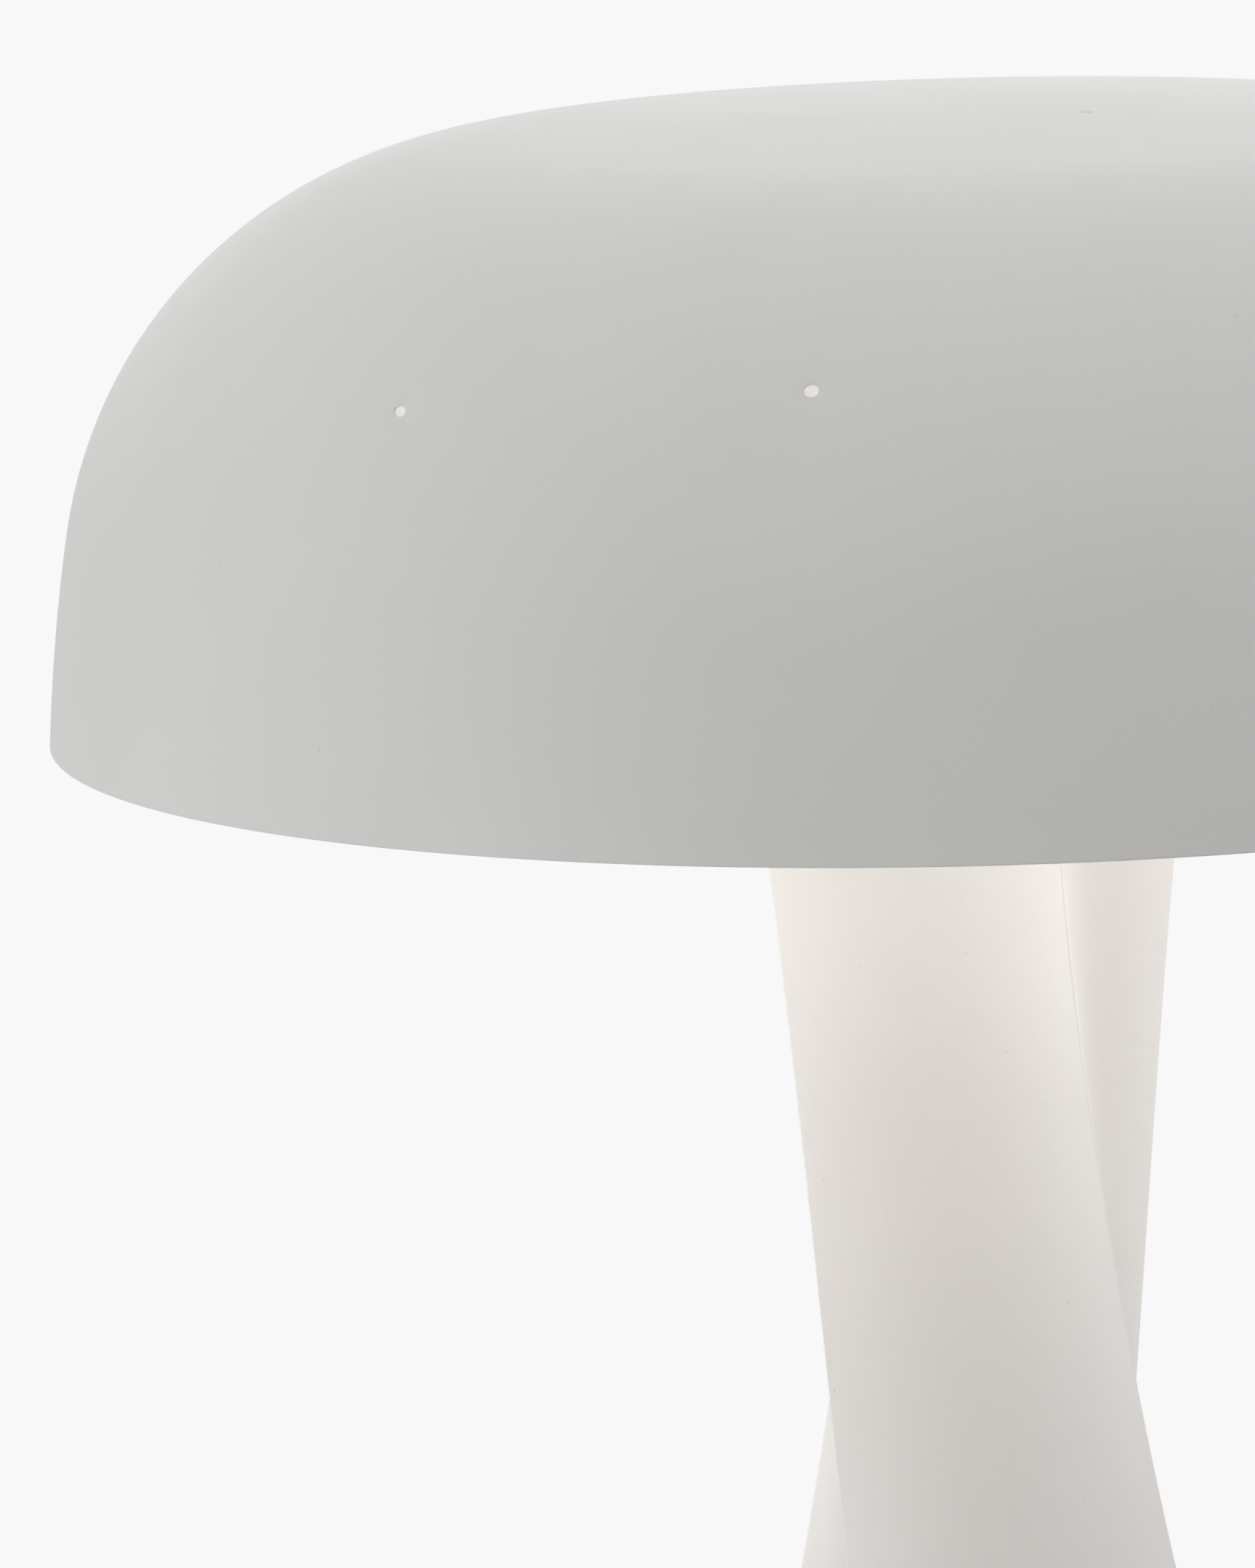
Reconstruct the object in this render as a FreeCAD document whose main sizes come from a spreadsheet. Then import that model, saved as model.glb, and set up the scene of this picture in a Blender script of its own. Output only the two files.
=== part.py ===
"""Table lamp: a spun dome shade on a twisted square stem, with its carrier, lampholder and bulb.

The origin is on the table under the middle of the foot, +Z is up, the foot's sides lie along X and Y
and the cord inlet is at the back, on +Y. Lengths are millimetres and angles are degrees.
"""
import FreeCAD, Part
import Sketcher
import math
import os
import re

doc = FreeCAD.newDocument("TableLamp")
UP = FreeCAD.Vector(0, 0, 1)
DOWN = FreeCAD.Vector(0, 0, -1)
SIDEWAYS = FreeCAD.Vector(0, 1, 0)
FORWARD = FreeCAD.Vector(1, 0, 0)
SAME_PLACE = 0.01

# Driving dimensions
DIMENSIONS = {
    # Shade, a spun dome: heights are above its rim
    "shade_radius": 170,
    "shade_height": 113,
    "shade_sheet": 1.2,
    "wall_radius": 350,
    "shoulder_radius": 85.4,
    "wall_flare": 3.29,
    "crown_rise": 3.2,
    "lip_width": 6,
    "lip_round": 1,
    "rim_height": 300,
    # Light holes in the shade
    "hole_diameter": 2.5,
    "low_hole_height": 73.1,
    "low_hole_angle": -160.5,
    "high_hole_height": 78.3,
    "high_hole_angle": -130.6,
    "hole_groups": 3,
    "crown_hole_reach": 31.5,
    "crown_hole_angle": -72,
    # Base
    "pad_thickness": 2,
    "pad_inset": 4,
    "plate_thickness": 8,
    "plate_inset": 1.5,
    "spigot_height": 4,
    "spigot_clearance": 0.3,
    # Stem, a twisted square column
    "stem_top": 281,
    "foot_side": 97,
    "waist_side": 55.2,
    "waist_height": 219,
    "stem_turn_angle": 56.8,
    "turn_height": 326.6,
    "face_hollow": 4.5,
    "corner_round": 0.5,
    "stem_wall": 3.5,
    # Cord inlet in the back of the foot
    "inlet_height": 26,
    "inlet_hole": 10,
    "grommet_bore": 7,
    "grommet_flange": 14,
    "grommet_lip": 2,
    "grommet_fit": 0.15,
    # Tube and its fastening
    "tube_diameter": 10,
    "tube_bore": 8,
    "tube_clearance": 0.1,
    "tube_stand_out": 0.5,
    "nut_flats": 17,
    "nut_thickness": 4,
    "washer_diameter": 21,
    "washer_thickness": 1.5,
    "recess_diameter": 24,
    "recess_depth": 7,
    # Top plate and shade carrier
    "top_plate_thickness": 2,
    "top_plate_inset": 0.5,
    "top_spigot_height": 3,
    "hub_diameter": 44,
    "hub_thickness": 7,
    "hub_chamfer": 1,
    "arm_count": 3,
    "arm_first_angle": 90,
    "arm_diameter": 4,
    "arm_root": 12,
    "arm_bend": 20,
    "arm_straight": 3.9,
    "pad_diameter": 9,
    "pad_length": 12,
    "pad_cover": 2.5,
    "edge_bevel": 1,
    "seat_gap": 0.3,
    # Lampholder: heights are above the hub
    "cap_diameter": 29,
    "cap_neck_diameter": 18,
    "cap_floor": 9,
    "cap_height": 18,
    "cap_wall": 2,
    "wiring_room": 2.5,
    "wiring_diameter": 19,
    "set_screw_diameter": 3,
    "set_screw_height": 4,
    "core_height": 10.5,
    "core_clearance": 0.3,
    "skirt_height": 46,
    "skirt_diameter": 28,
    "skirt_mouth": 18,
    "contact_height": 18,
    "contact_sheet": 0.4,
    "thread_clearance": 0.3,
    "spring_diameter": 9,
    "spring_sheet": 0.8,
    "spring_crown": 2.5,
    "spring_tip": 4,
    "terminal_reach": 6.5,
    "terminal_head": 4,
    "terminal_head_height": 1.5,
    "terminal_shank": 2.5,
    "terminal_length": 5,
    # Bulb with a small screw cap: heights are above its tip
    "tip_diameter": 5,
    "tip_height": 1.2,
    "button_height": 4,
    "button_diameter": 10.5,
    "screw_diameter": 13.9,
    "shell_taper": 1.5,
    "screw_top": 20.5,
    "collar_bottom": 22.5,
    "collar_top": 41,
    "collar_diameter": 34,
    "collar_neck": 17,
    "globe_diameter": 45,
    "globe_wall": 1.2,
    "bulb_length": 78,
    "board_diameter": 26,
    "board_thickness": 1.6,
}

sizes = doc.addObject("Spreadsheet::Sheet", "Sizes")
for row, (alias, value) in enumerate(DIMENSIONS.items(), start=1):
    sizes.set(f"A{row}", alias)
    sizes.set(f"B{row}", str(value))
    sizes.setAlias(f"B{row}", alias)
doc.recompute()

# Formulas of the dimensions that several pieces share
FOOT_HEIGHT = "(pad_thickness + plate_thickness)"
PLATE_TOP = "(stem_top + top_plate_thickness)"
HUB_TOP = f"({PLATE_TOP} + hub_thickness)"
ARM_HEIGHT = f"({PLATE_TOP} + hub_thickness / 2)"
CORE_BOTTOM = f"({HUB_TOP} + cap_floor + wiring_room)"
CORE_TOP = f"({CORE_BOTTOM} + core_height)"
SKIRT_TOP = f"({HUB_TOP} + skirt_height)"
BULB_TIP = f"({CORE_TOP} + spring_crown + seat_gap)"
WASHER_TOP = "(pad_thickness + recess_depth)"
NUT_BOTTOM = f"({WASHER_TOP} - washer_thickness - nut_thickness)"
SHOULDER_REACH = "(shade_radius - shoulder_radius - wall_flare)"
SHOULDER_DROP = "(shoulder_radius + crown_rise)"
SHOULDER_HEIGHT = f"(shade_height - {SHOULDER_DROP})"
CROWN_RADIUS = f"(({SHOULDER_REACH}^2 + {SHOULDER_DROP}^2 - shoulder_radius^2) / (2 * crown_rise))"

WORK_CELL = "D1"


def measure(formula):
    """Value of a formula of dimension names, worked out in a spare cell of the sheet."""
    sizes.set(WORK_CELL, f"={formula}")
    sizes.recompute()
    value = float(sizes.get(WORK_CELL))
    sizes.clear(WORK_CELL)
    return value


def bind(thing, setting, formula):
    """Tie one setting of an object to a formula of dimension names."""
    names = re.sub(
        r"[a-z_]+", lambda name: f"Sizes.{name[0]}" if name[0] in DIMENSIONS else name[0], formula
    )
    thing.setExpression(setting, names)


def side_at(height):
    """Side of the stem's square at a height: least at the waist, growing by a parabola."""
    rise = f"({height} - waist_height) / (waist_height - {FOOT_HEIGHT})"
    return f"(waist_side + (foot_side - waist_side) * ({rise})^2)"


def turn_at(height):
    """Clockwise turn of the stem's square at a height: it starts gently, runs and comes to rest again."""
    share = f"({height} / turn_height)"
    return f"(stem_turn_angle * (3 * {share}^2 - 2 * {share}^3))"


# Helpers for bodies, sketches and features
pieces = []


def new_body(label):
    """An empty body that becomes one piece of the lamp."""
    body = doc.addObject("PartDesign::Body", label)
    body.Label = label
    pieces.append(body)
    return body


def origin_feature(body, role):
    """A plane or an axis of a body's own origin."""
    for feature in body.Origin.OriginFeatures:
        if feature.Role == role:
            return feature


def new_sketch(body, name, plane):
    """An empty sketch on one of a body's origin planes."""
    sketch = body.newObject("Sketcher::SketchObject", f"{body.Label}_{name}")
    sketch.AttachmentSupport = [(origin_feature(body, plane), "")]
    sketch.MapMode = "FlatFace"
    return sketch


def constrain(sketch, formula, kind, *points):
    """Add a dimension to a sketch and tie it to a formula."""
    index = sketch.addConstraint(Sketcher.Constraint(kind, *points, measure(formula)))
    name = f"size_{index}"
    sketch.renameConstraint(index, name)
    bind(sketch, f"Constraints.{name}", formula)


def place_point(sketch, geometry, end, across, height):
    """Tie one point of a sketch to its distances from the origin."""
    for formula, kind, axis in ((across, "DistanceX", -2), (height, "DistanceY", -1)):
        if formula == "0":
            sketch.addConstraint(Sketcher.Constraint("PointOnObject", geometry, end, axis))
        else:
            constrain(sketch, formula, kind, -1, 1, geometry, end)


def join(sketch, first, second):
    """Let the end of one edge meet the start of the next."""
    sketch.addConstraint(Sketcher.Constraint("Coincident", first, 2, second, 1))


def polygon(body, name, corners):
    """A closed outline of straight edges in the XZ plane, each corner given as (radius, height)."""
    sketch = new_sketch(body, name, "XZ_Plane")
    points = [FreeCAD.Vector(measure(across), measure(height), 0) for across, height in corners]
    for start, end in zip(points, points[1:] + points[:1]):
        sketch.addGeometry(Part.LineSegment(start, end), False)
    for edge, (across, height) in enumerate(corners):
        join(sketch, edge, (edge + 1) % len(corners))
        place_point(sketch, edge, 1, across, height)
    return sketch


def turn_solid(body, sketch):
    """Revolve an outline about the sketch's upright axis."""
    solid = body.newObject("PartDesign::Revolution", f"{body.Label}_turned")
    solid.Profile = sketch
    solid.ReferenceAxis = (sketch, ["V_Axis"])
    solid.Angle = 360
    return solid


def turned_piece(label, corners):
    """A piece that is turned about the lamp's axis."""
    body = new_body(label)
    turn_solid(body, polygon(body, "outline", corners))
    return body


def pad(body, sketch, name, length):
    """Raise a sketch into a solid."""
    feature = body.newObject("PartDesign::Pad", f"{body.Label}_{name}")
    feature.Profile = sketch
    bind(feature, "Length", length)
    return feature


def drill(body, name, diameter, depth, bottom="0"):
    """Cut an upright round hole on the body's axis, from a height upwards."""
    hole = body.newObject("PartDesign::SubtractiveCylinder", f"{body.Label}_{name}")
    bind(hole, "Radius", f"{diameter} / 2")
    bind(hole, "Height", depth)
    bind(hole, "Placement.Base.z", bottom)
    return hole


def drill_along(body, name, diameter, depth, placement):
    """Cut a round hole that starts at a placement and runs along its Z axis."""
    hole = body.newObject("PartDesign::SubtractiveCylinder", f"{body.Label}_{name}")
    bind(hole, "Radius", f"{diameter} / 2")
    bind(hole, "Height", depth)
    hole.Placement = placement
    return hole


def repeat_round(body, features, count):
    """Repeat features evenly about the body's upright axis."""
    pattern = body.newObject("PartDesign::PolarPattern", f"{body.Label}_pattern")
    pattern.Originals = features
    pattern.Axis = (origin_feature(body, "Z_Axis"), [""])
    pattern.Angle = 360
    bind(pattern, "Occurrences", count)
    body.Tip = pattern
    return pattern


def round_edges(body, feature, name, radius, wanted):
    """Round those edges of a feature that a test picks out."""
    doc.recompute()
    edges = [f"Edge{n}" for n, edge in enumerate(feature.Shape.Edges, start=1) if wanted(edge)]
    fillet = body.newObject("PartDesign::Fillet", f"{body.Label}_{name}")
    fillet.Base = (feature, edges)
    bind(fillet, "Radius", radius)
    return fillet


def hollow_square(body, name, side, height):
    """A square outline with hollow sides that run into rounded corners, turned as the stem is at a height."""
    sketch = new_sketch(body, name, "XY_Plane")
    turn = turn_at(height)
    turned = FreeCAD.Rotation(DOWN, measure(turn))
    sketch.AttachmentOffset = FreeCAD.Placement(FreeCAD.Vector(0, 0, measure(height)), turned)
    bind(sketch, "AttachmentOffset.Base.z", height)
    bind(sketch, "AttachmentOffset.Rotation.Angle", turn)
    half = measure(side) / 2
    round_radius = measure("corner_round")
    inner = half - round_radius
    hollow_radius = f"(({side} - 2 * corner_round)^2 / (8 * face_hollow) + face_hollow / 2 - corner_round)"
    radius = measure(hollow_radius)
    opening = math.asin(inner / (radius + round_radius))
    quarter = math.pi / 2
    for corner in range(4):
        centre = FreeCAD.Rotation(UP, 90 * corner).multVec(FreeCAD.Vector(inner, inner, 0))
        circle = Part.Circle(centre, UP, round_radius)
        first, last = corner * quarter - opening, (corner + 1) * quarter + opening
        sketch.addGeometry(Part.ArcOfCircle(circle, first, last), False)
    for edge in range(4):
        reach = half - measure("face_hollow") + radius
        centre = FreeCAD.Rotation(UP, 90 * edge).multVec(FreeCAD.Vector(reach, 0, 0))
        middle = math.pi + edge * quarter
        circle = Part.Circle(centre, UP, radius)
        sketch.addGeometry(Part.ArcOfCircle(circle, middle - opening, middle + opening), False)
    for corner in range(4):
        sketch.addConstraint(Sketcher.Constraint("Tangent", 4 + corner, 1, corner, 1))
        sketch.addConstraint(Sketcher.Constraint("Tangent", 4 + corner, 2, (corner + 3) % 4, 2))
    sketch.addConstraint(Sketcher.Constraint("Symmetric", 0, 3, 2, 3, -1, 1))
    sketch.addConstraint(Sketcher.Constraint("Symmetric", 1, 3, 3, 3, -1, 1))
    sketch.addConstraint(Sketcher.Constraint("Horizontal", 0, 3, 1, 3))
    sketch.addConstraint(Sketcher.Constraint("Vertical", 1, 3, 2, 3))
    place_point(sketch, 0, 3, f"{side} / 2 - corner_round", f"{side} / 2 - corner_round")
    for corner in range(1, 4):
        sketch.addConstraint(Sketcher.Constraint("Equal", 0, corner))
        sketch.addConstraint(Sketcher.Constraint("Equal", 4, 4 + corner))
    constrain(sketch, "corner_round", "Radius", 0)
    constrain(sketch, hollow_radius, "Radius", 4)
    return sketch


# Base
def base_pad():
    """Felt sheet under the plate."""
    body = new_body("base_pad")
    outline = hollow_square(body, "outline", "(foot_side - 2 * pad_inset)", "0")
    pad(body, outline, "sheet", "pad_thickness")


def base_plate():
    """Steel plate under the foot, with a spigot in the stem and a recess for the nut."""
    body = new_body("base_plate")
    plate = hollow_square(body, "plate_outline", "(foot_side - 2 * plate_inset)", "pad_thickness")
    pad(body, plate, "plate", "plate_thickness")
    spigot_side = "(foot_side - 2 * stem_wall - 2 * spigot_clearance - spigot_height)"
    spigot = hollow_square(body, "spigot_outline", spigot_side, FOOT_HEIGHT)
    pad(body, spigot, "spigot", "spigot_height")
    drill(body, "recess", "recess_diameter", "recess_depth", "pad_thickness")
    drill(body, "bore", "(tube_diameter + 2 * tube_clearance)", "plate_thickness + spigot_height", WASHER_TOP)


def base_fastening():
    """Washer and hexagon nut that clamp the tube to the plate."""
    bore = "tube_diameter / 2 + tube_clearance"
    washer_bottom = f"{WASHER_TOP} - washer_thickness"
    turned_piece("base_washer", (
        (bore, washer_bottom), ("washer_diameter / 2", washer_bottom),
        ("washer_diameter / 2", WASHER_TOP), (bore, WASHER_TOP),
    ))
    nut = new_body("base_nut")
    hexagon = nut.newObject("PartDesign::AdditivePrism", "base_nut_hexagon")
    hexagon.Polygon = 6
    bind(hexagon, "Circumradius", "nut_flats / sqrt(3)")
    bind(hexagon, "Height", "nut_thickness")
    bind(hexagon, "Placement.Base.z", NUT_BOTTOM)
    drill(nut, "bore", f"2 * ({bore})", "nut_thickness", NUT_BOTTOM)


# Stem
STATIONS = 10


def stem_sections(body, name, inset):
    """Outlines of the stem from foot to top, taken in by an inset."""
    sections = []
    for station in range(STATIONS):
        height = f"({FOOT_HEIGHT} + {station} / {STATIONS - 1} * (stem_top - {FOOT_HEIGHT}))"
        side = f"({side_at(height)} - 2 * {inset})"
        sections.append(hollow_square(body, f"{name}_{station}", side, height))
    return sections


def inlet_placement():
    """Middle of the stem's back face at the inlet, with Z square to the face and pointing out."""
    height = measure("inlet_height")
    drop = measure("waist_height") - measure(FOOT_HEIGHT)
    lean = (measure("foot_side") - measure("waist_side")) * (measure("waist_height") - height) / drop**2
    turn = measure(turn_at("inlet_height"))
    face = measure(side_at("inlet_height")) / 2 - measure("face_hollow")
    about = FreeCAD.Rotation(DOWN, turn)
    outwards = FreeCAD.Rotation(FORWARD, -90 + math.degrees(math.atan(lean)))
    spot = about.multVec(FreeCAD.Vector(0, face, 0)) + FreeCAD.Vector(0, 0, height)
    return FreeCAD.Placement(spot, about * outwards)


def stem():
    """Hollow twisted column with an inlet hole."""
    body = new_body("stem")
    outer = stem_sections(body, "outer", "0")
    column = body.newObject("PartDesign::AdditiveLoft", "stem_column")
    column.Profile = outer[0]
    column.Sections = outer[1:]
    inner = stem_sections(body, "inner", "stem_wall")
    cavity = body.newObject("PartDesign::SubtractiveLoft", "stem_cavity")
    cavity.Profile = inner[0]
    cavity.Sections = inner[1:]
    inside = FreeCAD.Vector(0, 0, -4 * measure("stem_wall"))
    start = inlet_placement() * FreeCAD.Placement(inside, FreeCAD.Rotation())
    drill_along(body, "inlet", "inlet_hole", "8 * stem_wall", start)


def cord_grommet():
    """Bush in the inlet hole, with a flange that clears the hollow face."""
    sleeve = "inlet_hole / 2 - grommet_fit"
    back = "-2 * stem_wall"
    seat = f"(grommet_fit + face_hollow * (grommet_flange / {side_at('inlet_height')})^2)"
    front = f"{seat} + grommet_lip"
    body = turned_piece("cord_grommet", (
        ("grommet_bore / 2", back), (sleeve, back), (sleeve, seat), ("grommet_flange / 2", seat),
        ("grommet_flange / 2", front), ("grommet_bore / 2", front),
    ))
    body.Placement = inlet_placement()


# Tube, top plate and shade carrier
def threaded_tube():
    """Tube from the base nut up into the lampholder's cap."""
    bottom = f"{NUT_BOTTOM} - tube_stand_out"
    top = f"{HUB_TOP} + cap_floor"
    turned_piece("threaded_tube", (
        ("tube_bore / 2", bottom), ("tube_diameter / 2", bottom),
        ("tube_diameter / 2", top), ("tube_bore / 2", top),
    ))


def top_plate():
    """Plate that closes the stem, with a spigot in its mouth."""
    body = new_body("top_plate")
    top_side = side_at("stem_top")
    spigot_bottom = "(stem_top - top_spigot_height)"
    spigot_side = f"({side_at(spigot_bottom)} - 2 * stem_wall - 2 * spigot_clearance)"
    plate = hollow_square(body, "plate_outline", f"({top_side} - 2 * top_plate_inset)", "stem_top")
    pad(body, plate, "plate", "top_plate_thickness")
    spigot = hollow_square(body, "spigot_outline", f"({spigot_side} - top_spigot_height)", spigot_bottom)
    pad(body, spigot, "spigot", "top_spigot_height")
    depth = "top_plate_thickness + top_spigot_height"
    drill(body, "bore", "(tube_diameter + 2 * tube_clearance)", depth, spigot_bottom)


def carrier_hub():
    """Turned hub with a socket for each arm."""
    bore = "tube_diameter / 2 + tube_clearance"
    rim = "hub_diameter / 2"
    body = turned_piece("carrier_hub", (
        (bore, PLATE_TOP), (f"{rim} - hub_chamfer", PLATE_TOP), (rim, f"{PLATE_TOP} + hub_chamfer"),
        (rim, f"{HUB_TOP} - hub_chamfer"), (f"{rim} - hub_chamfer", HUB_TOP), (bore, HUB_TOP),
    ))
    start = FreeCAD.Placement(
        FreeCAD.Vector(measure("arm_root"), 0, measure(ARM_HEIGHT)), FreeCAD.Rotation(SIDEWAYS, 90)
    )
    socket = drill_along(body, "socket", "arm_diameter", "hub_diameter", start)
    repeat_round(body, [socket], "arm_count")
    body.Placement = FreeCAD.Placement(FreeCAD.Vector(), FreeCAD.Rotation(UP, measure("arm_first_angle")))


def arm_turn(number):
    """Turn of one arm about the lamp's axis."""
    step = 360 / measure("arm_count")
    return FreeCAD.Rotation(UP, measure("arm_first_angle") + number * step)


PAD_SEAT = "(shoulder_radius - shade_sheet - seat_gap)"
ARM_KNEE = "(hub_diameter / 2 + arm_straight)"
ARM_RUN = f"({SHOULDER_REACH} - {ARM_KNEE})"
ARM_RISE = f"(rim_height + {SHOULDER_HEIGHT} - {ARM_HEIGHT})"
ARM_REACH = f"({ARM_RUN} + sqrt({ARM_RUN}^2 + {ARM_RISE}^2 - 2 * arm_bend * {ARM_RISE}))"
ARM_ANGLE = f"(2 * atan({ARM_RISE} / {ARM_REACH}))"


def carrier_arm(number):
    """Rod that runs level out of the hub, bends up and points through the middle of the shoulder's arc."""
    body = new_body(f"carrier_arm_{number + 1}")
    path = new_sketch(body, "path", "XZ_Plane")
    slope = math.radians(measure(ARM_ANGLE))
    level = measure(ARM_HEIGHT)
    bend = measure("arm_bend")
    centre = FreeCAD.Vector(measure(SHOULDER_REACH), measure("rim_height") + measure(SHOULDER_HEIGHT), 0)
    along = FreeCAD.Vector(math.cos(slope), math.sin(slope), 0)
    knee = measure(ARM_KNEE)
    root = FreeCAD.Vector(measure("arm_root"), level, 0)
    bend_start = FreeCAD.Vector(knee, level, 0)
    bend_centre = FreeCAD.Vector(knee, level + bend, 0)
    bend_end = bend_centre + FreeCAD.Vector(math.sin(slope), -math.cos(slope), 0) * bend
    end = centre + along * (measure(PAD_SEAT) - measure("pad_cover"))
    circle = Part.Circle(bend_centre, UP, bend)
    path.addGeometry(Part.LineSegment(root, bend_start), False)
    path.addGeometry(Part.ArcOfCircle(circle, -math.pi / 2, slope - math.pi / 2), False)
    path.addGeometry(Part.LineSegment(bend_end, end), False)
    path.addGeometry(Part.LineSegment(centre, end), True)
    path.addConstraint(Sketcher.Constraint("Horizontal", 0))
    path.addConstraint(Sketcher.Constraint("Tangent", 0, 2, 1, 1))
    path.addConstraint(Sketcher.Constraint("Tangent", 1, 2, 2, 1))
    path.addConstraint(Sketcher.Constraint("Coincident", 2, 2, 3, 2))
    path.addConstraint(Sketcher.Constraint("Parallel", 2, 3))
    place_point(path, 0, 1, "arm_root", ARM_HEIGHT)
    place_point(path, 3, 1, SHOULDER_REACH, f"rim_height + {SHOULDER_HEIGHT}")
    constrain(path, "arm_bend", "Radius", 1)
    constrain(path, f"{PAD_SEAT} - pad_cover", "Distance", 3)
    constrain(path, ARM_KNEE, "DistanceX", -1, 1, 0, 2)
    section = new_sketch(body, "section", "YZ_Plane")
    bind(section, "AttachmentOffset.Base.z", "arm_root")
    middle = FreeCAD.Vector(0, level, 0)
    section.addGeometry(Part.Circle(middle, UP, measure("arm_diameter") / 2), False)
    place_point(section, 0, 3, "0", ARM_HEIGHT)
    constrain(section, "arm_diameter / 2", "Radius", 0)
    rod = body.newObject("PartDesign::AdditivePipe", f"{body.Label}_rod")
    rod.Profile = section
    rod.Spine = (path, ["Edge1", "Edge2", "Edge3"])
    body.Placement = FreeCAD.Placement(FreeCAD.Vector(), arm_turn(number))


def arm_pad(number):
    """Soft cap on the end of an arm, just under the shade."""
    outer = "pad_diameter / 2"
    rod = "arm_diameter / 2"
    body = turned_piece(f"arm_pad_{number + 1}", (
        ("0", "0"), (f"{outer} - edge_bevel", "0"), (outer, "-1 * edge_bevel"), (outer, "-1 * pad_length"),
        (rod, "-1 * pad_length"), (rod, "-1 * pad_cover"), ("0", "-1 * pad_cover"),
    ))
    slope = math.radians(measure(ARM_ANGLE))
    reach = measure(SHOULDER_REACH) + measure(PAD_SEAT) * math.cos(slope)
    height = measure("rim_height") + measure(SHOULDER_HEIGHT) + measure(PAD_SEAT) * math.sin(slope)
    lean = FreeCAD.Rotation(SIDEWAYS, 90 - measure(ARM_ANGLE))
    tip = FreeCAD.Placement(FreeCAD.Vector(reach, 0, height), lean)
    body.Placement = FreeCAD.Placement(FreeCAD.Vector(), arm_turn(number)) * tip


# Lampholder
def holder_cap():
    """Cup that screws onto the tube and clamps the hub, with a hole for its set screw."""
    bore = "tube_diameter / 2 + tube_clearance"
    floor = f"{HUB_TOP} + cap_floor"
    rim = f"{HUB_TOP} + cap_height"
    outer = "cap_diameter / 2"
    body = turned_piece("holder_cap", (
        (bore, HUB_TOP), ("cap_neck_diameter / 2", HUB_TOP), ("cap_neck_diameter / 2", f"{floor} - cap_wall"),
        (outer, floor), (outer, rim), (f"{outer} - cap_wall", rim), (f"{outer} - cap_wall", CORE_BOTTOM),
        ("wiring_diameter / 2", CORE_BOTTOM), ("wiring_diameter / 2", floor), (bore, floor),
    ))
    drill_along(body, "screw_hole", "set_screw_diameter", "cap_diameter", set_screw_placement())


def set_screw_placement():
    """Where the set screw meets the tube, with Z along the screw."""
    reach = measure("tube_diameter") / 2 + measure("tube_clearance")
    height = measure(HUB_TOP) + measure("set_screw_height")
    return FreeCAD.Placement(FreeCAD.Vector(reach, 0, height), FreeCAD.Rotation(SIDEWAYS, 90))


def cap_set_screw():
    """Grub screw that locks the cap on the tube."""
    length = "cap_neck_diameter / 2 - tube_diameter / 2 - tube_clearance"
    body = turned_piece("cap_set_screw", (
        ("0", "0"), ("set_screw_diameter / 2", "0"), ("set_screw_diameter / 2", length), ("0", length),
    ))
    body.Placement = set_screw_placement()


def holder_core():
    """Insulating block with the contacts on top and the terminal screws below."""
    radius = "cap_diameter / 2 - cap_wall - core_clearance"
    body = turned_piece("holder_core", (
        ("0", CORE_BOTTOM), (radius, CORE_BOTTOM), (radius, CORE_TOP), ("0", CORE_TOP),
    ))
    for number in range(2):
        seat = terminal_placement(number)
        drill_along(body, f"terminal_{number}", "terminal_shank", "terminal_length", seat)


def terminal_placement(number):
    """Seat of one terminal screw under the core, with Z pointing up."""
    reach = measure("terminal_reach") * (1 - 2 * number)
    return FreeCAD.Placement(FreeCAD.Vector(reach, 0, measure(CORE_BOTTOM)), FreeCAD.Rotation())


def terminal_screws():
    """Two screws with their heads under the core, as one group."""
    screws = []
    for number in range(2):
        head = doc.addObject("Part::Cylinder", f"terminal_head_{number}")
        bind(head, "Radius", "terminal_head / 2")
        bind(head, "Height", "terminal_head_height")
        shank = doc.addObject("Part::Cylinder", f"terminal_shank_{number}")
        bind(shank, "Radius", "terminal_shank / 2")
        bind(shank, "Height", "terminal_length + terminal_head_height")
        screw = doc.addObject("Part::Fuse", f"terminal_screw_{number}")
        screw.Base = head
        screw.Tool = shank
        drop = FreeCAD.Placement(FreeCAD.Vector(0, 0, -measure("terminal_head_height")), FreeCAD.Rotation())
        screw.Placement = terminal_placement(number) * drop
        screws.append(screw)
    group = doc.addObject("Part::Compound", "terminal_screws")
    group.Links = screws
    group.Label = "terminal_screws"
    pieces.append(group)


def holder_skirt():
    """Outer sleeve that screws into the cap and holds the core down."""
    outer = "skirt_diameter / 2"
    seat = "cap_diameter / 2 - cap_wall"
    rim = f"{HUB_TOP} + cap_height"
    turned_piece("holder_skirt", (
        (seat, rim), (outer, rim), (outer, f"{SKIRT_TOP} - edge_bevel"), (f"{outer} - edge_bevel", SKIRT_TOP),
        ("skirt_mouth / 2", SKIRT_TOP), ("skirt_mouth / 2", CORE_TOP), (seat, CORE_TOP),
    ))


def holder_contacts():
    """Sleeve that takes the bulb's screw shell, and the sprung contact under its tip."""
    bore = "screw_diameter / 2 + thread_clearance"
    top = f"{CORE_TOP} + contact_height"
    outer = f"{bore} + contact_sheet"
    turned_piece("shell_contact", ((bore, CORE_TOP), (outer, CORE_TOP), (outer, top), (bore, top)))
    crown = f"{CORE_TOP} + spring_crown"
    turned_piece("centre_contact", (
        ("0", CORE_TOP), ("spring_diameter / 2", CORE_TOP),
        ("spring_diameter / 2", f"{CORE_TOP} + spring_sheet"), ("spring_tip / 2", crown), ("0", crown),
    ))


# Bulb
def above_tip(height):
    """A height of the bulb, given above its tip."""
    return f"({BULB_TIP} + {height})"


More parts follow.
